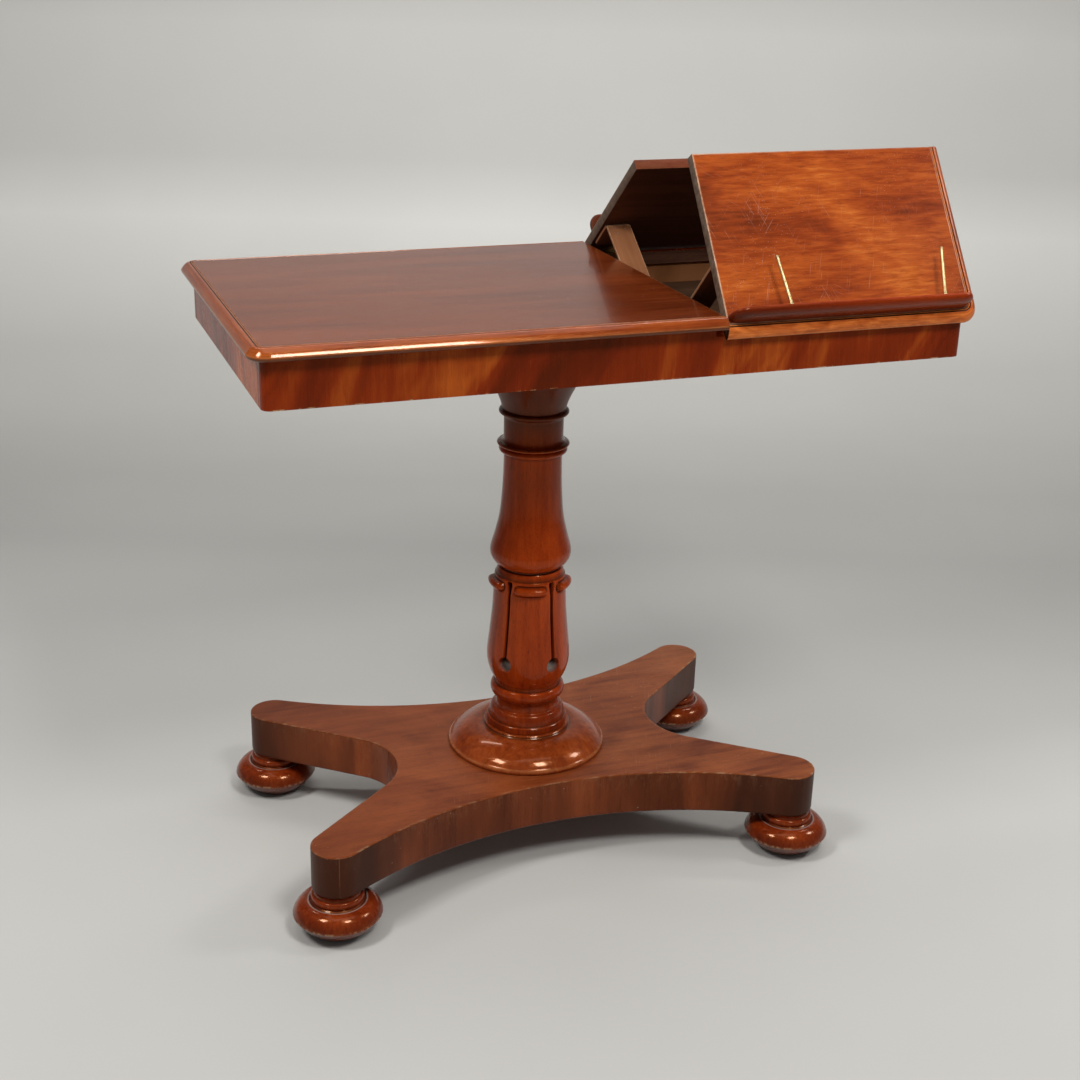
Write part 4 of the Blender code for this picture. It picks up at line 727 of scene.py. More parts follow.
def columnProfile():
    z, tenon = column["foot"], column["tenon"]
    (ring, ringTall), (ovoloLow, ovoloHigh, ovoloTall) = column["baseRing"], column["ovolo"]
    (waist, waistTall), (torusRoot, torus, torusTall) = column["waist"], column["torus"]
    throat, throatTall = column["throat"]
    profile = [(tenon * 0.2, columnLow.z + 0.0004), (tenon, columnLow.z + 0.0004), (tenon, z),
               (ring - 0.0008, z), (ring, z + 0.0008)]
    z += ringTall
    profile += [(ring, z - 0.0010), (ring - 0.0010, z), (ovoloLow + 0.0006, z), (ovoloLow, z + 0.0005)]
    profile += quarterCurve((ovoloLow, z + 0.0006), (ovoloHigh, z + ovoloTall), 10, False)[1:]
    z += ovoloTall
    profile += beadCurve(waist + (torusRoot - waist) * 0.7, waist, z + 0.0003, z + waistTall - 0.0003, 10)
    z += waistTall
    profile += beadCurve(torusRoot - 0.0006, torus, z + 0.0004, z + torusTall - 0.0004, 14)
    z += torusTall
    profile.append((throat, z + 0.0006))
    z += throatTall
    petalFoot = z
    bulge, petalTop, tall = column["bulge"], column["petalTop"], column["petalHeight"]
    drawn = bulge - petalTop
    profile += flowing([(throat, z), (throat + (bulge - throat) * 0.66, z + tall * 0.10),
                        (bulge, z + tall * 0.26), (bulge - drawn * 0.38, z + tall * 0.50),
                        (bulge - drawn * 0.82, z + tall * 0.76), (petalTop, z + tall)], 9)
    z += tall
    lipFoot = z
    z += column["lipHeight"]
    profile.append((petalTop, z))
    tipLow, tipHigh, tipTall = column["tipRing"]
    (groove, grooveTall), dish = column["groove"], column["dish"]
    profile += quarterCurve((petalTop, z + 0.0002), (tipLow, z + dish), 5, False)[1:]
    z += dish + tipTall
    profile += [(tipHigh + 0.0002, z - 0.0010), (tipHigh - 0.0006, z), (groove, z + 0.0004)]
    z += grooveTall
    upperParts = [column[each] for each in ("lowerBead", "lowerDisc", "neck", "upperDisc")]
    (bead, beadTall), (disc, discTall), (neck, neckTall), (upper, upperTall) = upperParts
    cove = column["cove"]
    mouldings = sum(part[1] for part in upperParts) + 2 * cove
    shaftTop = column["top"] - column["band"] - column["capital"][2] - mouldings
    (bulb, bulbTall), (shaftWide, shaftThin) = column["bulb"], column["shaft"]
    shaftLow = z + bulbTall
    tall, drawn = shaftTop - shaftLow, shaftWide - shaftThin
    profile += flowing([(groove, z), (groove + (bulb - groove) * 0.72, z + bulbTall * 0.17),
                        (bulb, z + bulbTall * 0.46), (shaftWide, shaftLow),
                        (shaftWide - drawn * 0.56, shaftLow + tall * 0.24),
                        (shaftWide - drawn * 0.88, shaftLow + tall * 0.60), (shaftThin, shaftTop)], 9)
    z = shaftTop
    profile += beadCurve(shaftThin - 0.0004, bead, z + 0.0006, z + beadTall - 0.0002, 12)
    z += beadTall
    profile += beadCurve(bead - 0.0022, disc, z + 0.0002, z + discTall, 10)
    z += discTall
    profile += quarterCurve((bead - 0.0008, z + 0.0003), (neck, z + cove), 6, True)
    z += cove + neckTall
    root = neck + (upper - neck) * 0.5
    profile += quarterCurve((neck, z), (root, z + cove), 6, False)
    z += cove
    profile += beadCurve(root - 0.0006, upper, z + 0.0003, z + upperTall - 0.0002, 10)
    z += upperTall
    narrow, wide, tall = column["capital"]
    flare = ((0, 0), (0.12, 0.22), (0.41, 0.53), (0.78, 0.83), (1.0, 1.0))
    profile += flowing([(narrow + (wide - narrow) * out, z + tall * up) for out, up in flare], 5)
    top, tenon = column["top"], column["topTenon"]
    profile += [(wide, top - 0.0005), (wide - 0.0005, top), (tenon, top)]
    profile += [(tenon, columnHigh.z - 0.0003), (tenon * 0.2, columnHigh.z - 0.0003)]
    return profile, petalFoot, lipFoot


profileUp, petalFoot, lipFoot = columnProfile()
lipHead = lipFoot + column["lipHeight"]
petals = dict(count=5, facing=math.radians(-108.610919606), slot=0.0021, slotTop=0.0036, depth=0.0100,
              eyeUp=0.0345, eyeWide=0.0094, eyeTall=0.0100, crown=0.0009, lip=0.0078, lipTall=0.0057,
              lipReach=25.5, meanRadius=0.049)
# distances from the middle of a slot at which the surface is cut finer
petals["near"] = (0.0008, 0.0015, 0.002, 0.0025, 0.0031, 0.0039, 0.0048, 0.0057, 0.0066, 0.0075, 0.0084,
                  0.0093, 0.0104)
eyeAt = petalFoot + petals["eyeUp"]


def petalTurns():
    # close together at the slots, wider apart on the petals
    sector = 2 * math.pi / petals["count"]
    near = [way / petals["meanRadius"] for way in petals["near"]]
    half = [0.0] + near + [near[-1] + (sector / 2 - near[-1]) * step / 9 for step in range(1, 10)]
    offsets = half + [sector - turn for turn in reversed(half[1:-1])]
    first = petals["facing"] + sector / 2
    return [first + sector * number + turn for number in range(petals["count"]) for turn in offsets]


def petalShape(radius, height, turn):
    # slots between the petals, an eye at the foot of each, and a rolled lip on every petal; the slots, the
    # eyes and a ring round each lip are darkened as painted shade, and each lip's crest gets a slight pale
    # rub that is partly a painted highlight
    if not petalFoot < height < lipHead + column["dish"] * 0.9:
        # away from the petals: painted shade towards the top, under the table top, and at the foot of the
        # column
        underTop = column["topShade"] * easedStep(column["top"] - 0.124, column["top"] - 0.07, height)
        lowDown = column["lowShade"] * (1 - easedStep(petalFoot - 0.03, petalFoot, height))
        return radius, underTop + lowDown, 0.0, 0.0
    sector = 2 * math.pi / petals["count"]
    off = abs((turn - petals["facing"] + sector / 2) % sector - sector / 2)
    edge = (sector / 2 - off) * radius
    eyeOff = math.hypot(edge / petals["eyeWide"], (height - eyeAt) / petals["eyeTall"])
    inEye = 1 - easedStep(0.82, 1.0, eyeOff)
    opening = easedStep(lipFoot - 0.004, lipHead, height)
    half = petals["slot"] + (petals["slotTop"] - petals["slot"]) * opening
    inSlot = 1 - easedStep(half * 0.72, half * 1.12, edge) if height > eyeAt else 0.0
    deep = max(inEye, inSlot) * (1 - easedStep(lipHead + 0.001, lipHead + column["dish"] * 0.8, height))
    rise = easedStep(petalFoot, petalFoot + 0.03, height) * (1 - easedStep(lipFoot - 0.004, lipFoot,
        height))
    crowned = petals["crown"] * (1 - (off / (sector / 2)) ** 2) * rise
    middle, tall = (lipFoot + lipHead) / 2 - 0.0006, petals["lipTall"]
    past = max(0.0, off * radius - (math.radians(petals["lipReach"]) * radius - tall))
    spread = math.hypot(past, height - middle) / tall  # 1 on the lip's outline
    roll = max(0.0, 1 - spread ** 2)
    around = max(0.0, 1 - abs(spread - 1.08) / 0.26)
    out = radius + crowned + petals["lip"] * math.sqrt(roll) - petals["depth"] * deep - 0.0009 * around
    powder = 0.75 * inEye * (1 - easedStep(eyeAt - 0.0035, eyeAt + 0.002, height))
    return out, min(1.0, max(deep * 1.5, 0.9 * around)), 0.12 * easedStep(0.75, 1.0, roll), powder


def columnWear(radius, height):
    if height > column["top"] - column["band"] - 0.001:
        return 0.35 if radius > column["capital"][1] - 0.0006 else 0.0
    crown = max(column["lowerDisc"][0], column["upperDisc"][0]) - 0.0022
    low, high = (column["top"] - down for down in column["discZone"])
    return 0.3 if low < height < high and radius > crown else 0.0


def finerRows(profile, zones):
    found = [profile[0]]
    for (r0, z0), (r1, z1) in zip(profile, profile[1:]):
        most = min([step for low, high, step in zones if low - 1e-6 <= z0 and z1 <= high + 1e-6] or [1.0])
        pieces = max(1, math.ceil((z1 - z0) / most))
        found += [(r0 + (r1 - r0) * k / pieces, z0 + (z1 - z0) * k / pieces) for k in range(1, pieces + 1)]
    return found


fineZones = ((petalFoot, lipFoot, 0.003), (eyeAt - 0.014, eyeAt + 0.014, 0.0009),
             (lipFoot - 0.0060, lipHead, 0.0006), (lipHead, lipHead + 0.006, 0.0008))
turnedPiece("carvedColumn", finerRows(profileUp, fineZones), (columnX, 0.0, 0.0), columnWood, "stand",
            ["column"], shape=petalShape, worn=columnWear, turns=petalTurns(), soiledAndShaded=0.85)
print("column turned and carved")


# top boards and mouldings
boardLow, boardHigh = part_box("fixed_top_board")
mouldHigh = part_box("fixed_top_moulding")[1]
board = dict(thick=boardHigh.z - boardLow.z, width=mouldHigh.y - boardHigh.y, corner=0.008)
mould = dict(noseDrop=0.0088, lowerRound=0.0038, flat=0.0034, steps=9, pitch=0.0015)


def mouldSection():
    # out from the board and up from its face, then how worn and how dark; a fine quirk runs along the inside.
    # The darkening in the quirk and under the nose is painted shade, with a real dark joint by the board, and
    # the pale rub on the inner bead and at the nose is partly a painted highlight
    thick, wide = board["thick"], board["width"]
    noseLow = -thick + mould["lowerRound"]
    section = [(0.0003, -thick, 0.0, 0.4), (0.0003, -0.0006, 0.0, 0.6), (0.0006, -0.0001, 0.5, 0.0),
               (0.0011, 0.0, 0.6, 0.0), (0.0016, -0.0001, 0.4, 0.0), (0.0019, -0.0009, 0.0, 1.0),
               (0.0030, -0.0009, 0.0, 1.0), (0.0032, -0.0002, 0.0, 0.5)]
    flat, drop = mould["flat"], mould["noseDrop"]
    for share in [step / 15 for step in range(16)]:  # bends down ever faster to a sharp nose
        rubAndHighlight = 0.6 * easedStep(0.90, 1.0, share)
        section.append((flat + (wide - flat) * share, -drop * share ** 2, rubAndHighlight, 0.0))
    section.append((wide, -drop - 0.0004, 0.5, 0.2))
    section.append((wide - 0.0001, noseLow, 0.0, 0.5))
    lowerCurve = quarterCurve((wide - 0.0001, noseLow), (wide - mould["lowerRound"], -thick), 7, False)
    return section + [(out, up, 0.0, 0.6) for out, up in lowerCurve[1:]]


def cornerRun(centre, start, end, steps):
    found = []
    for step in range(steps + 1):
        turn = start + (end - start) * step / steps
        way = (math.cos(turn), math.sin(turn))
        found.append(((centre[0] + board["corner"] * way[0], centre[1] + board["corner"] * way[1]), way))
    return found


def sweptMoulding(name, run, height, finish, body, stands, place=None, others=(), choose=None):
    section, spots, travel = mouldSection(), [], 0.0
    for number, ((x, y), way) in enumerate(run):
        travel += math.dist(run[number - 1][0], (x, y)) if number else 0.0
        for step, (out, up, rubAndHighlight, dirtAndShade) in enumerate(section, 1):
            point = (x + way[0] * out, y + way[1] * out, height + up)
            spots.append((point, (travel, step * mould["pitch"], 0.0), rubAndHighlight, dirtAndShade))
    faces = ringFaces(len(run), len(section))
    addPiece(name, spots, faces, finish, body, stands, place, 38.0, others, choose)


def straightRun(start, end, way, steps):
    across, up = end[0] - start[0], end[1] - start[1]
    shares = [step / steps for step in range(steps + 1)]
    return [((start[0] + across * share, start[1] + up * share), way) for share in shares]


def slabPiece(name, outline, low, high, finish, body, stands, place=None, ease=0.0007,
              upperRub=0.5, turnGrain=False, others=(), choose=None, rubbed=None):
    # a board with eased and rubbed edges; the outline runs round a convex shape
    middle = sum((Vector(spot) for spot in outline), Vector((0.0, 0.0))) / len(outline)

    def drawnIn(inset):
        found = []
        for x, y in outline:
            away = Vector((x, y)) - middle
            found.append((x - math.copysign(min(inset, abs(away.x)), away.x),
                          y - math.copysign(min(inset, abs(away.y)), away.y)))
        return found

    levels = [(ease * 2.5, low, 0.0), (ease, low, 0.2), (ease * 0.3, low + ease * 0.3, 0.4),
              (0.0, low + ease, 0.2), (0.0, high - ease, 0.3), (ease * 0.3, high - ease * 0.3, upperRub),
              (ease, high, upperRub), (ease * 2.5, high, 0.0)]
    spots = []
    for inset, height, rubAndHighlight in levels:
        for x, y in drawnIn(inset):
            grain = (y, x, height) if turnGrain else (x, y, height)
            spots.append(((x, y, height), grain, rubAndHighlight * (rubbed(x, y) if rubbed else 1.0)))
    faces = ringFaces(len(levels), len(outline))
    return addPiece(name, spots, faces, finish, body, stands, place, others=others, choose=choose)


def roundedPlan(low, high, radii, steps=8):
    corners = ((low[0], low[1]), (high[0], low[1]), (high[0], high[1]), (low[0], high[1]))
    ways = ((1, 1), (-1, 1), (-1, -1), (1, -1))
    found = []
    for number, (corner, way, radius) in enumerate(zip(corners, ways, radii)):
        if radius <= 0:
            found.append(corner)
            continue
        start = math.pi + number * math.pi / 2
        centre = (corner[0] + way[0] * radius, corner[1] + way[1] * radius)
        found += arcPoints(centre, radius, start, start + math.pi / 2, steps)
    return found


fixedPlan = roundedPlan((boardLow.x, boardLow.y), (boardHigh.x, boardHigh.y),
                        (board["corner"], 0, 0, board["corner"]))
slabPiece("fixedTop", fixedPlan, boardLow.z, boardHigh.z, topWood, "stand", ["fixed_top_board"])
leftX, cornerY = boardLow.x + board["corner"], boardHigh.y - board["corner"]
fixedRun = straightRun((boardHigh.x, boardLow.y), (leftX + 0.001, boardLow.y), (0, -1), 40)
fixedRun += cornerRun((leftX, -cornerY), 1.5 * math.pi, math.pi, mould["steps"])
fixedRun += straightRun((boardLow.x, -cornerY + 0.001), (boardLow.x, cornerY - 0.001), (-1, 0), 24)
fixedRun += cornerRun((leftX, cornerY), math.pi, 0.5 * math.pi, mould["steps"])
fixedRun += straightRun((leftX + 0.001, boardHigh.y), (boardHigh.x, boardHigh.y), (0, 1), 40)
sweptMoulding("fixedTopMoulding", fixedRun, boardHigh.z, mouldWood, "stand", ["fixed_top_moulding"])
print("fixed top laid")


# reading slopes, each made in its own frame: along the table, up the slope, out of its face
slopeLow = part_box("front_slope_board")[0]
slope = dict(quirk=-0.004, face=board["thick"] - 0.002, under=-0.002, finger=0.004, left=slopeLow.x,
             right=-boardLow.x, ledgeRise=dict(front=0.001, rear=0.026))
slope["free"] = boardHigh.y + slope["quirk"] - slope["finger"]
ledge = dict(reach=0.025, thick=0.010, lip=0.003, undercut=0.012, endRound=0.016, endInset=0.002,
             endPaintedShade=dict(front=0.35, rear=0.85))
pin = dict(length=0.060, radius=0.0019, ball=0.0026, tip=0.0021, socket=(0.012, 0.003))
# easing leaves room to fold flat
strut = dict(long=0.120, wide=0.033, thick=0.004, easing=0.0005, reach=0.071, cleat=0.045, drop=0.0063)


def slopeFrame(side):
    hinge = joints[side + "_slope_hinge"]
    raised = -math.radians(hinge["range_deg"][0])
    facing = -1.0 if side == "front" else 1.0
    up = Vector((0, -facing * math.cos(raised), math.sin(raised)))
    out = Vector((0, facing * math.sin(raised), math.cos(raised)))
    along = Vector((-facing, 0, 0))
    place = Matrix((along, up, out)).transposed().to_4x4()
    place.translation = Vector((0, hinge["pos_m"][1], hinge["pos_m"][2]))
    return place, -facing


def ledgePiece(side, place, way):
    left, right = slope["left"] + ledge["endInset"], slope["right"] - ledge["endInset"]
    ends = sorted((way * left, way * right))
    foot = slope["quirk"] + slope["ledgeRise"][side]
    rounded = ledge["thick"] - ledge["lip"]
    layers = [(rounded * step / 9, ledge["undercut"] * (1 - math.sqrt(1 - (1 - step / 9) ** 2)), 0.0)
              for step in range(10)]
    # the pale rub along the top arris is partly a painted highlight
    layers += [(rounded + 0.0004, 0.0, 0.1), (ledge["thick"] - 0.0009, 0.0, 0.5),
               (ledge["thick"] - 0.0003, 0.0003, 1.0), (ledge["thick"], 0.0010, 0.8),
               (ledge["thick"], 0.003, 0.0)]
    spots = []
    for upSlope, drawn, rubAndHighlight in layers:
        low = (ends[0] + drawn, slope["face"] + 0.0003)
        high = (ends[1] - drawn, slope["face"] + ledge["reach"] - drawn)
        corner = min(ledge["endRound"], (high[1] - low[1]) * 0.95)
        for x, out in roundedPlan(low, high, (0, 0, corner, corner), 9):
            # the left end of each ledge is darkened as painted shade, most on the rear one
            dirtAndShade = ledge["endPaintedShade"][side] * (1 - easedStep(0.008, 0.04, x * way - left))
            spots.append(((x, foot + upSlope, out), (x, upSlope, out),
                          rubAndHighlight if out > slope["face"] + 0.004 else 0.0, dirtAndShade))
    faces = ringFaces(len(layers), len(spots) // len(layers))
    rest = addPiece(side + "BookLedge", spots, faces, ledgeWood, side + "_slope", [side + "_slope_ledge"],
                    place, 36.0)
    return rest, foot + ledge["thick"]


def pinPiece(side, end, rest, ledgeTop, place):
    # a rod on a small ball, in a slot of the ledge
    node = side + "_slope_" + end + "_pin"
    joint = joints[node + "_swivel"]
    pivot = place.inverted() @ Vector(joint["pos_m"])
    lean = math.radians(sum(joint["range_deg"]) / 2) * (1 if side == "front" else -1)  # to the right
    long, deep = pin["socket"]
    wide = pin["ball"] + 0.0004
    carve(rest, [block((pivot.x - long / 2, ledgeTop - deep, pivot.z - wide),
                       (pivot.x + long / 2, ledgeTop + 0.01, pivot.z + wide))])
    tip = pin["length"] - pin["tip"]
    profile = [(pin["ball"] * math.sin(t), -pin["ball"] * math.cos(t))
               for t in (0.25, 0.6, 1.0, 1.3, 1.57, 1.9, 2.2)]
    profile += [(pin["radius"] * 1.1, 0.0036), (pin["radius"], 0.0052), (pin["radius"] * 0.97, tip * 0.5),
                (pin["radius"] * 0.92, tip - 0.0052), (pin["radius"] * 1.05, tip - 0.0030)]
    profile += [(pin["tip"] * math.sin(t), tip - pin["tip"] * math.cos(t))
                for t in (1.0, 1.3, 1.57, 1.9, 2.3, 2.7, 3.0)]
    stand = Matrix.Rotation(-math.pi / 2, 4, "X")
    local = place @ Matrix.Translation(pivot) @ Matrix.Rotation(-lean, 4, "Z") @ stand
    turnedPiece(side + end.title() + "PagePin", profile, (0, 0, 0), brass, node, [node],
                segments=28, place=local)


def strutSet(side, end, place):
    node = side + "_slope_" + end + "_strut"
    hinge = place.inverted() @ Vector(joints[node + "_hinge"]["pos_m"])
    half = strut["wide"] / 2
    low = -strut["drop"]
    plan = roundedPlan((hinge.x - half, strut["reach"] - strut["cleat"]),
                       (hinge.x + half, strut["reach"] - 0.0003), (0.004, 0.004, 0, 0), 4)
    slabPiece(side + end.title() + "Cleat", plan, low, low + strut["thick"], strutWood, side + "_slope",
              [side + "_slope_" + end + "_cleat"], place, 0.0005, 0.6, turnGrain=True)
    tipLow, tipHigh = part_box(node)
    diagonal, lie = math.hypot(strut["long"], strut["thick"]), math.atan2(strut["thick"], strut["long"])
    dip = math.asin((tipHigh.z - tipLow.z) / diagonal) - lie
    raised = -math.radians(joints[side + "_slope_hinge"]["range_deg"][0])
    opened = place @ Matrix.Translation(hinge) @ Matrix.Rotation(-(dip + raised), 4, "X")
    plan = roundedPlan((-half, 0.0003), (half, strut["long"]), (0, 0, 0.003, 0.003), 4)
    slabPiece(side + end.title() + "Strut", plan, 0.0, strut["thick"] - strut["easing"], strutWood, node,
              [node], opened, 0.0005, 0.7, turnGrain=True)
    strutPins(side, end, opened)


def studHeads(places, head, sides):
    # low domed heads, each with its place and the way it faces, up or down
    spots, faces = [], []
    turns = [2 * math.pi * step / sides for step in range(sides)]
    for place, outward in places:
        first = len(spots)
        for radius, height in head:
            spots += [(place + Vector((radius * math.cos(turn), radius * math.sin(turn), outward * height)),)
                       for turn in turns]
        faces += [tuple(first + corner for corner in face) for face in ringFaces(len(head), sides)]
    return spots, faces


strutPin = dict(places=((-0.007, 0.006), (0.006, 0.005), (0.005, 0.0135)), sides=10,
                head=((0.0011, -0.0002), (0.0011, 0.00005), (0.0008, 0.00018), (0.0002, 0.0002)))
leafScrew = dict(pitch=0.013, stagger=0.0015, inset=0.0085, sides=14,
                 head=((0.0019, -0.0002), (0.0019, 0.00004), (0.0014, 0.0001), (0.0004, 0.00012)))
hingeBed = dict(half=0.0203, slack=0.0003, knuckle=0.0030, lap=0.0001, leaf=0.0118, below=-0.006)


def strutPins(side, end, opened):
    # three small pin heads near the hinge, on both faces
    levels = ((0.0, -1.0), (strut["thick"] - strut["easing"], 1.0))
    places = [(Vector((across, down, level)), outward) for level, outward in levels
              for across, down in strutPin["places"]]
    spots, faces = studHeads(places, strutPin["head"], strutPin["sides"])
    body = side + "_slope_" + end + "_strut"
    addPiece(side + end.title() + "StrutPins", spots, faces, screwSteel, body, (), opened)


def leafScrews(name, body, place, centre, up, level, outward):
    # brass screw heads, sunk almost flush in a hinge leaf, the middle one lower
    places = []
    for step in (-1, 0, 1):
        lower = leafScrew["stagger"] if step == 0 else 0.0
        places.append((Vector((centre + step * leafScrew["pitch"], up - lower, level)), outward))
    spots, faces = studHeads(places, leafScrew["head"], leafScrew["sides"])
    addPiece(name, spots, faces, oldBrass, body, (), place)


def slopeFace(facing, way):
    # polished face, dull underside, grey end by the fixed top, stained free edge
    if facing.z < -0.5:
        return 1
    if facing.x * way < -0.8:
        return 2
    return 3 if facing.y > 0.8 else 0


def mouldFace(spot, facing, way):
    # dark cut end by the fixed top, the face's own colour down the far end
    if facing.x * way < -0.8 and spot.x * way < slope["left"] + 0.002:
        return 2
    return int(spot.x * way > slope["right"] + 0.001 and spot.y > slope["quirk"])


def hingeCentres(side):
    return {end: sum(corner.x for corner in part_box(side + "_hinge_" + end + "_slope_leaf")) / 2
            for end in ("left", "right")}


for side in ("front", "rear"):
    place, way = slopeFrame(side)
    ends = sorted((way * slope["left"], way * slope["right"]))
    radii = (board["corner"], 0, 0, 0) if way < 0 else (0, board["corner"], 0, 0)
    plan = roundedPlan((ends[0], slope["quirk"]), (ends[1], slope["free"]), radii)
    leaf = slabPiece(side + "Slope", plan, slope["under"], slope["face"], slopeWood, side + "_slope",
                     [side + "_slope_board"], place, 0.0009, 1.0,
                     others=(underWood, blackEnd if side == "front" else endWood, edgeWood),
                     rubbed=lambda x, y: 1.0 if x * way < slope["left"] + 0.003 else 0.45,
                     choose=lambda spot, facing: slopeFace(facing, way))
    centres = hingeCentres(side)
    cutters = []
    for end, centre in centres.items():
        near, far = sorted((way * (centre - hingeBed["half"]), way * (centre + hingeBed["half"])))
        below, knuckle, slack = hingeBed["below"], hingeBed["knuckle"], hingeBed["slack"]
        cutters.append(block((near, slope["quirk"] - slack, below), (far, knuckle, knuckle)))
        cutters.append(block((near, knuckle - hingeBed["lap"], below), (far, hingeBed["leaf"], -slack)))
    carve(leaf, cutters)
    right = way * slope["right"]
    corner = (right - way * board["corner"], slope["quirk"] + board["corner"])
    run = straightRun((way * slope["left"], slope["quirk"]), (corner[0] - way * 0.001, slope["quirk"]),
                      (0, -1), 30)
    run += cornerRun(corner, -0.5 * math.pi, 0.0 if way > 0 else -math.pi, mould["steps"])
    run += straightRun((right, corner[1] + 0.001), (right, slope["free"]), (way, 0), 20)
    sweptMoulding(side + "SlopeMoulding", run, slope["face"], goldLitWood, side + "_slope",
                  [side + "_slope_moulding"], place, (endMouldWood, blackEnd),
                  lambda spot, facing: mouldFace(spot, facing, way))
    rest, ledgeTop = ledgePiece(side, place, way)
    for end in ("left", "right"):
        pinPiece(side, end, rest, ledgeTop, place)
        strutSet(side, end, place)
        leafScrews(side + end.title() + "SlopeLeafScrews", side + "_slope", place, way * centres[end],
                   leafScrew["inset"], slope["under"], -1.0)
        hingeAt = joints[side + "_slope_hinge"]["pos_m"]
        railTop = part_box("frieze_" + side + "_rail")[1].z
        inward = hingeAt[1] + (leafScrew["inset"] if side == "front" else -leafScrew["inset"])
        leafScrews(side + end.title() + "RailLeafScrews", "stand", None, centres[end], inward, railTop, 1.0)
    print(side, "slope built")


# what stays as the frame made it gets its finish, and eased edges where they show
def dressNode(node, finish, ease=0.0):
    piece = frame["nodes"][node]
    piece.data.materials.clear()
    piece.data.materials.append(finish)
    if ease:
        weld = piece.modifiers.new("joined", "WELD")
        weld.merge_threshold = 0.00002
        step = piece.modifiers.new("eased", "BEVEL")
        step.width, step.segments, step.limit_method = ease, 2, "ANGLE"
        step.angle_limit = math.radians(40)
        step.harden_normals = True


for side in ("front", "rear"):
    dressNode("frieze_" + side + "_rail", flameLong, 0.0006)
    dressNode(side + "_well_strip", stripWood, 0.0005)
    for end in ("left", "right"):
        dressNode(side + "_" + end + "_rack", dealAcross, 0.0003)
        for leafKind in ("_fixed_leaf", "_slope_leaf"):
            dressNode(side + "_hinge_" + end + leafKind, oldBrass)
        dressNode("bearer_screw_" + side + "_" + end, screwSteel)
for end in ("left", "right"):
    dressNode("frieze_" + end + "_rail", flameEnd, 0.0006)
dressNode("bottom_board", stainedUnder, 0.0004)
dressNode("partition_rail", dealAcross, 0.0004)
dressNode("top_bearer", stainedUnder, 0.0012)
dressNode("column_wedge", dealWood, 0.0002)
print("frame pieces dressed")


# floor, backdrop, light and camera; the tones are greys by the run of floor and wall, with painted shade on
# the floor behind the table, a painted bright band along the cove and the wall darker towards its top
studio = dict(wall=2.6, cove=0.9, wallHeight=4.0, halfWidth=6.0, front=-5.0, tint=(1.0, 0.976, 0.918),
              litAndShadedTones=((-5.0, 0.565), (-0.43, 0.576), (-0.15, 0.572), (0.0, 0.562), (0.18, 0.555),
                     (0.39, 0.505), (0.64, 0.430), (0.94, 0.340), (1.31, 0.357), (1.76, 0.436),
                     (2.07, 0.464), (2.31, 0.546), (2.51, 0.615), (2.69, 0.505), (2.88, 0.534),
                     (3.03, 0.575), (3.25, 0.50), (3.45, 0.40), (3.65, 0.28), (4.0, 0.24), (6.3, 0.24)))
camera = dict(azimuth=-20.95, elevation=21.59, distance=2.0944, target=(-0.030, 0.0, 0.3968), roll=1.587,
              lens=54.91)
lamps = (  # name, degrees round from the front, degrees up, distance, width, height, watts
    ("overhead", 0.0, 88.0, 2.9, 2.2, 2.2, 21.0),
    ("leftBox", -73.0, 49.0, 2.6, 0.55, 0.55, 29.0),
    ("rightBox", 9.0, 52.0, 2.6, 0.55, 0.55, 30.0),
    ("sideBox", 74.0, 36.0, 2.6, 0.45, 0.45, 12.0))
lampTarget = Vector((0.0, 0.0, 0.4))
wash = dict(width=3.6, height=0.5, watts=60.0, far=1.5, up=2.9, aimUp=1.5)
room = dict(tint=(0.93, 0.96, 1.0), strength=0.15)


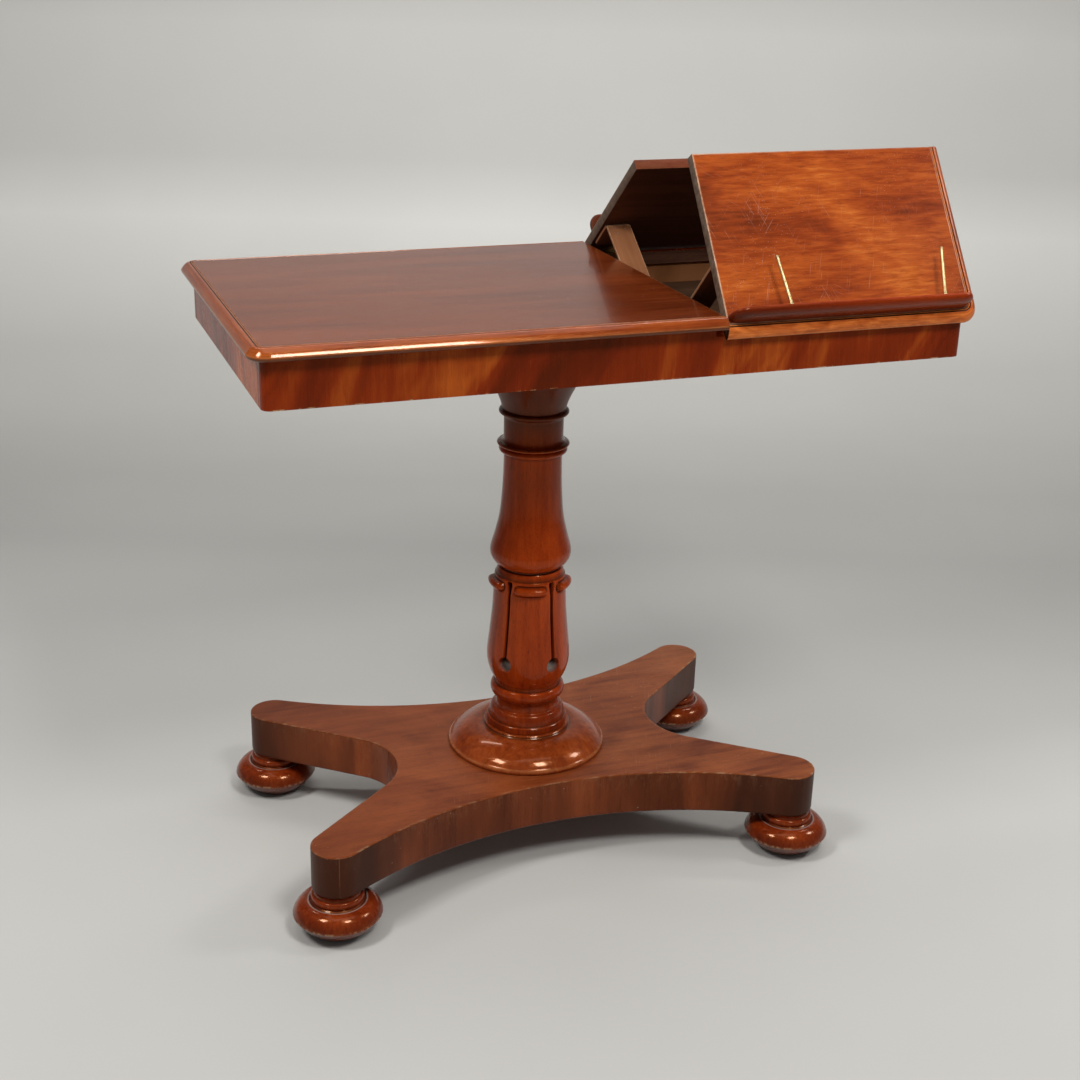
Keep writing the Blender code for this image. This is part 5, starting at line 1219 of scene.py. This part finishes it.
def backdrop():
    wall, cove, front, tall = (studio[each] for each in ("wall", "cove", "front", "wallHeight"))
    line = [(front + 0.2 * step, 0.0) for step in range(round((wall - cove - front) / 0.2))]
    bends = [math.pi / 2 * step / 24 for step in range(25)]
    line += [(wall - cove + cove * math.sin(bend), cove * (1 - math.cos(bend))) for bend in bends]
    line += [(wall, cove + (tall - cove) * step / 12) for step in range(1, 13)]
    points = [(x, y, z) for x in (-studio["halfWidth"], studio["halfWidth"]) for y, z in line]
    size = len(line)
    faces = [(step, step + 1, size + step + 1, size + step) for step in range(size - 1)]
    data = bpy.data.meshes.new("seamlessFloor")
    data.from_pydata(points, [], faces)
    travel = [front]
    for before, after in zip(line, line[1:]):
        travel.append(travel[-1] + math.dist(before, after))
    data.attributes.new("run", "FLOAT", "POINT").data.foreach_set("value", travel * 2)
    data.shade_smooth()
    made, tree, shader = blankFinish("paleFloor")
    run = carried(tree, "run")
    soft = grainNoise(tree, stretched(tree, objectSpace(tree), 1.3, 1.3), 3.0)
    low, high = studio["litAndShadedTones"][0][0], studio["litAndShadedTones"][-1][0]
    share = work(tree, "DIVIDE", work(tree, "SUBTRACT", run, low), high - low)
    tinted = [(at, tuple(grey * part for part in studio["tint"])) for at, grey in studio["litAndShadedTones"]]
    litAndShadedTones = ramp(tree, share, [((at - low) / (high - low), tone) for at, tone in tinted])
    shade = mixColour(tree, ramp(tree, soft, ((0.3, 0.0), (0.7, 0.06))), litAndShadedTones, (0.0, 0.0, 0.0))
    tree.links.new(shade, shader.inputs["Base Color"])
    shader.inputs["Roughness"].default_value = 0.75
    shader.inputs["Specular IOR Level"].default_value = 0.2
    data.materials.append(made)
    floor = bpy.data.objects.new("seamlessFloor", data)
    floor.rotation_euler.z = math.radians(camera["azimuth"])
    bpy.context.scene.collection.objects.link(floor)


def aimed(name, data, place, target, roll=0.0):
    made = bpy.data.objects.new(name, data)
    back = (Vector(place) - Vector(target)).normalized()
    turn = back.to_track_quat("Z", "Y").to_matrix().to_4x4() @ Matrix.Rotation(roll, 4, "Z")
    made.matrix_world = Matrix.Translation(place) @ turn
    bpy.context.scene.collection.objects.link(made)
    return made


def boxLight(name, wide, tall, watts):
    made = bpy.data.lights.new(name, "AREA")
    made.shape, made.size, made.size_y, made.energy = "RECTANGLE", wide, tall, watts
    return made


def wayOut(around, up):
    # a way out from the middle, by its turn from the front and its rise
    return Vector((math.sin(around) * math.cos(up), -math.cos(around) * math.cos(up), math.sin(up)))


backdrop()
for name, around, up, far, wide, tall, watts in lamps:
    place = wayOut(math.radians(around), math.radians(up)) * far + lampTarget
    aimed(name, boxLight(name, wide, tall, watts), place, lampTarget)
azimuth, elevation = math.radians(camera["azimuth"]), math.radians(camera["elevation"])
away = Vector((-math.sin(azimuth), math.cos(azimuth), 0.0))
aimed("wallWash", boxLight("wallWash", wash["width"], wash["height"], wash["watts"]),
      away * wash["far"] + Vector((0.0, 0.0, wash["up"])),
      away * studio["wall"] + Vector((0.0, 0.0, wash["aimUp"])))
world = bpy.data.worlds.new("softRoom")
world.use_nodes = True
world.node_tree.nodes["Background"].inputs["Color"].default_value = (*room["tint"], 1.0)
world.node_tree.nodes["Background"].inputs["Strength"].default_value = room["strength"]
bpy.context.scene.world = world

back = wayOut(azimuth, elevation)
lensData = bpy.data.cameras.new("photoCamera")
lensData.lens, lensData.sensor_width = camera["lens"], 36.0
cameraPiece = aimed("photoCamera", lensData, Vector(camera["target"]) + back * camera["distance"],
                    camera["target"], math.radians(camera["roll"]))
bpy.context.scene.camera = cameraPiece
bpy.context.scene.view_settings.view_transform = "Standard"
print("studio set")
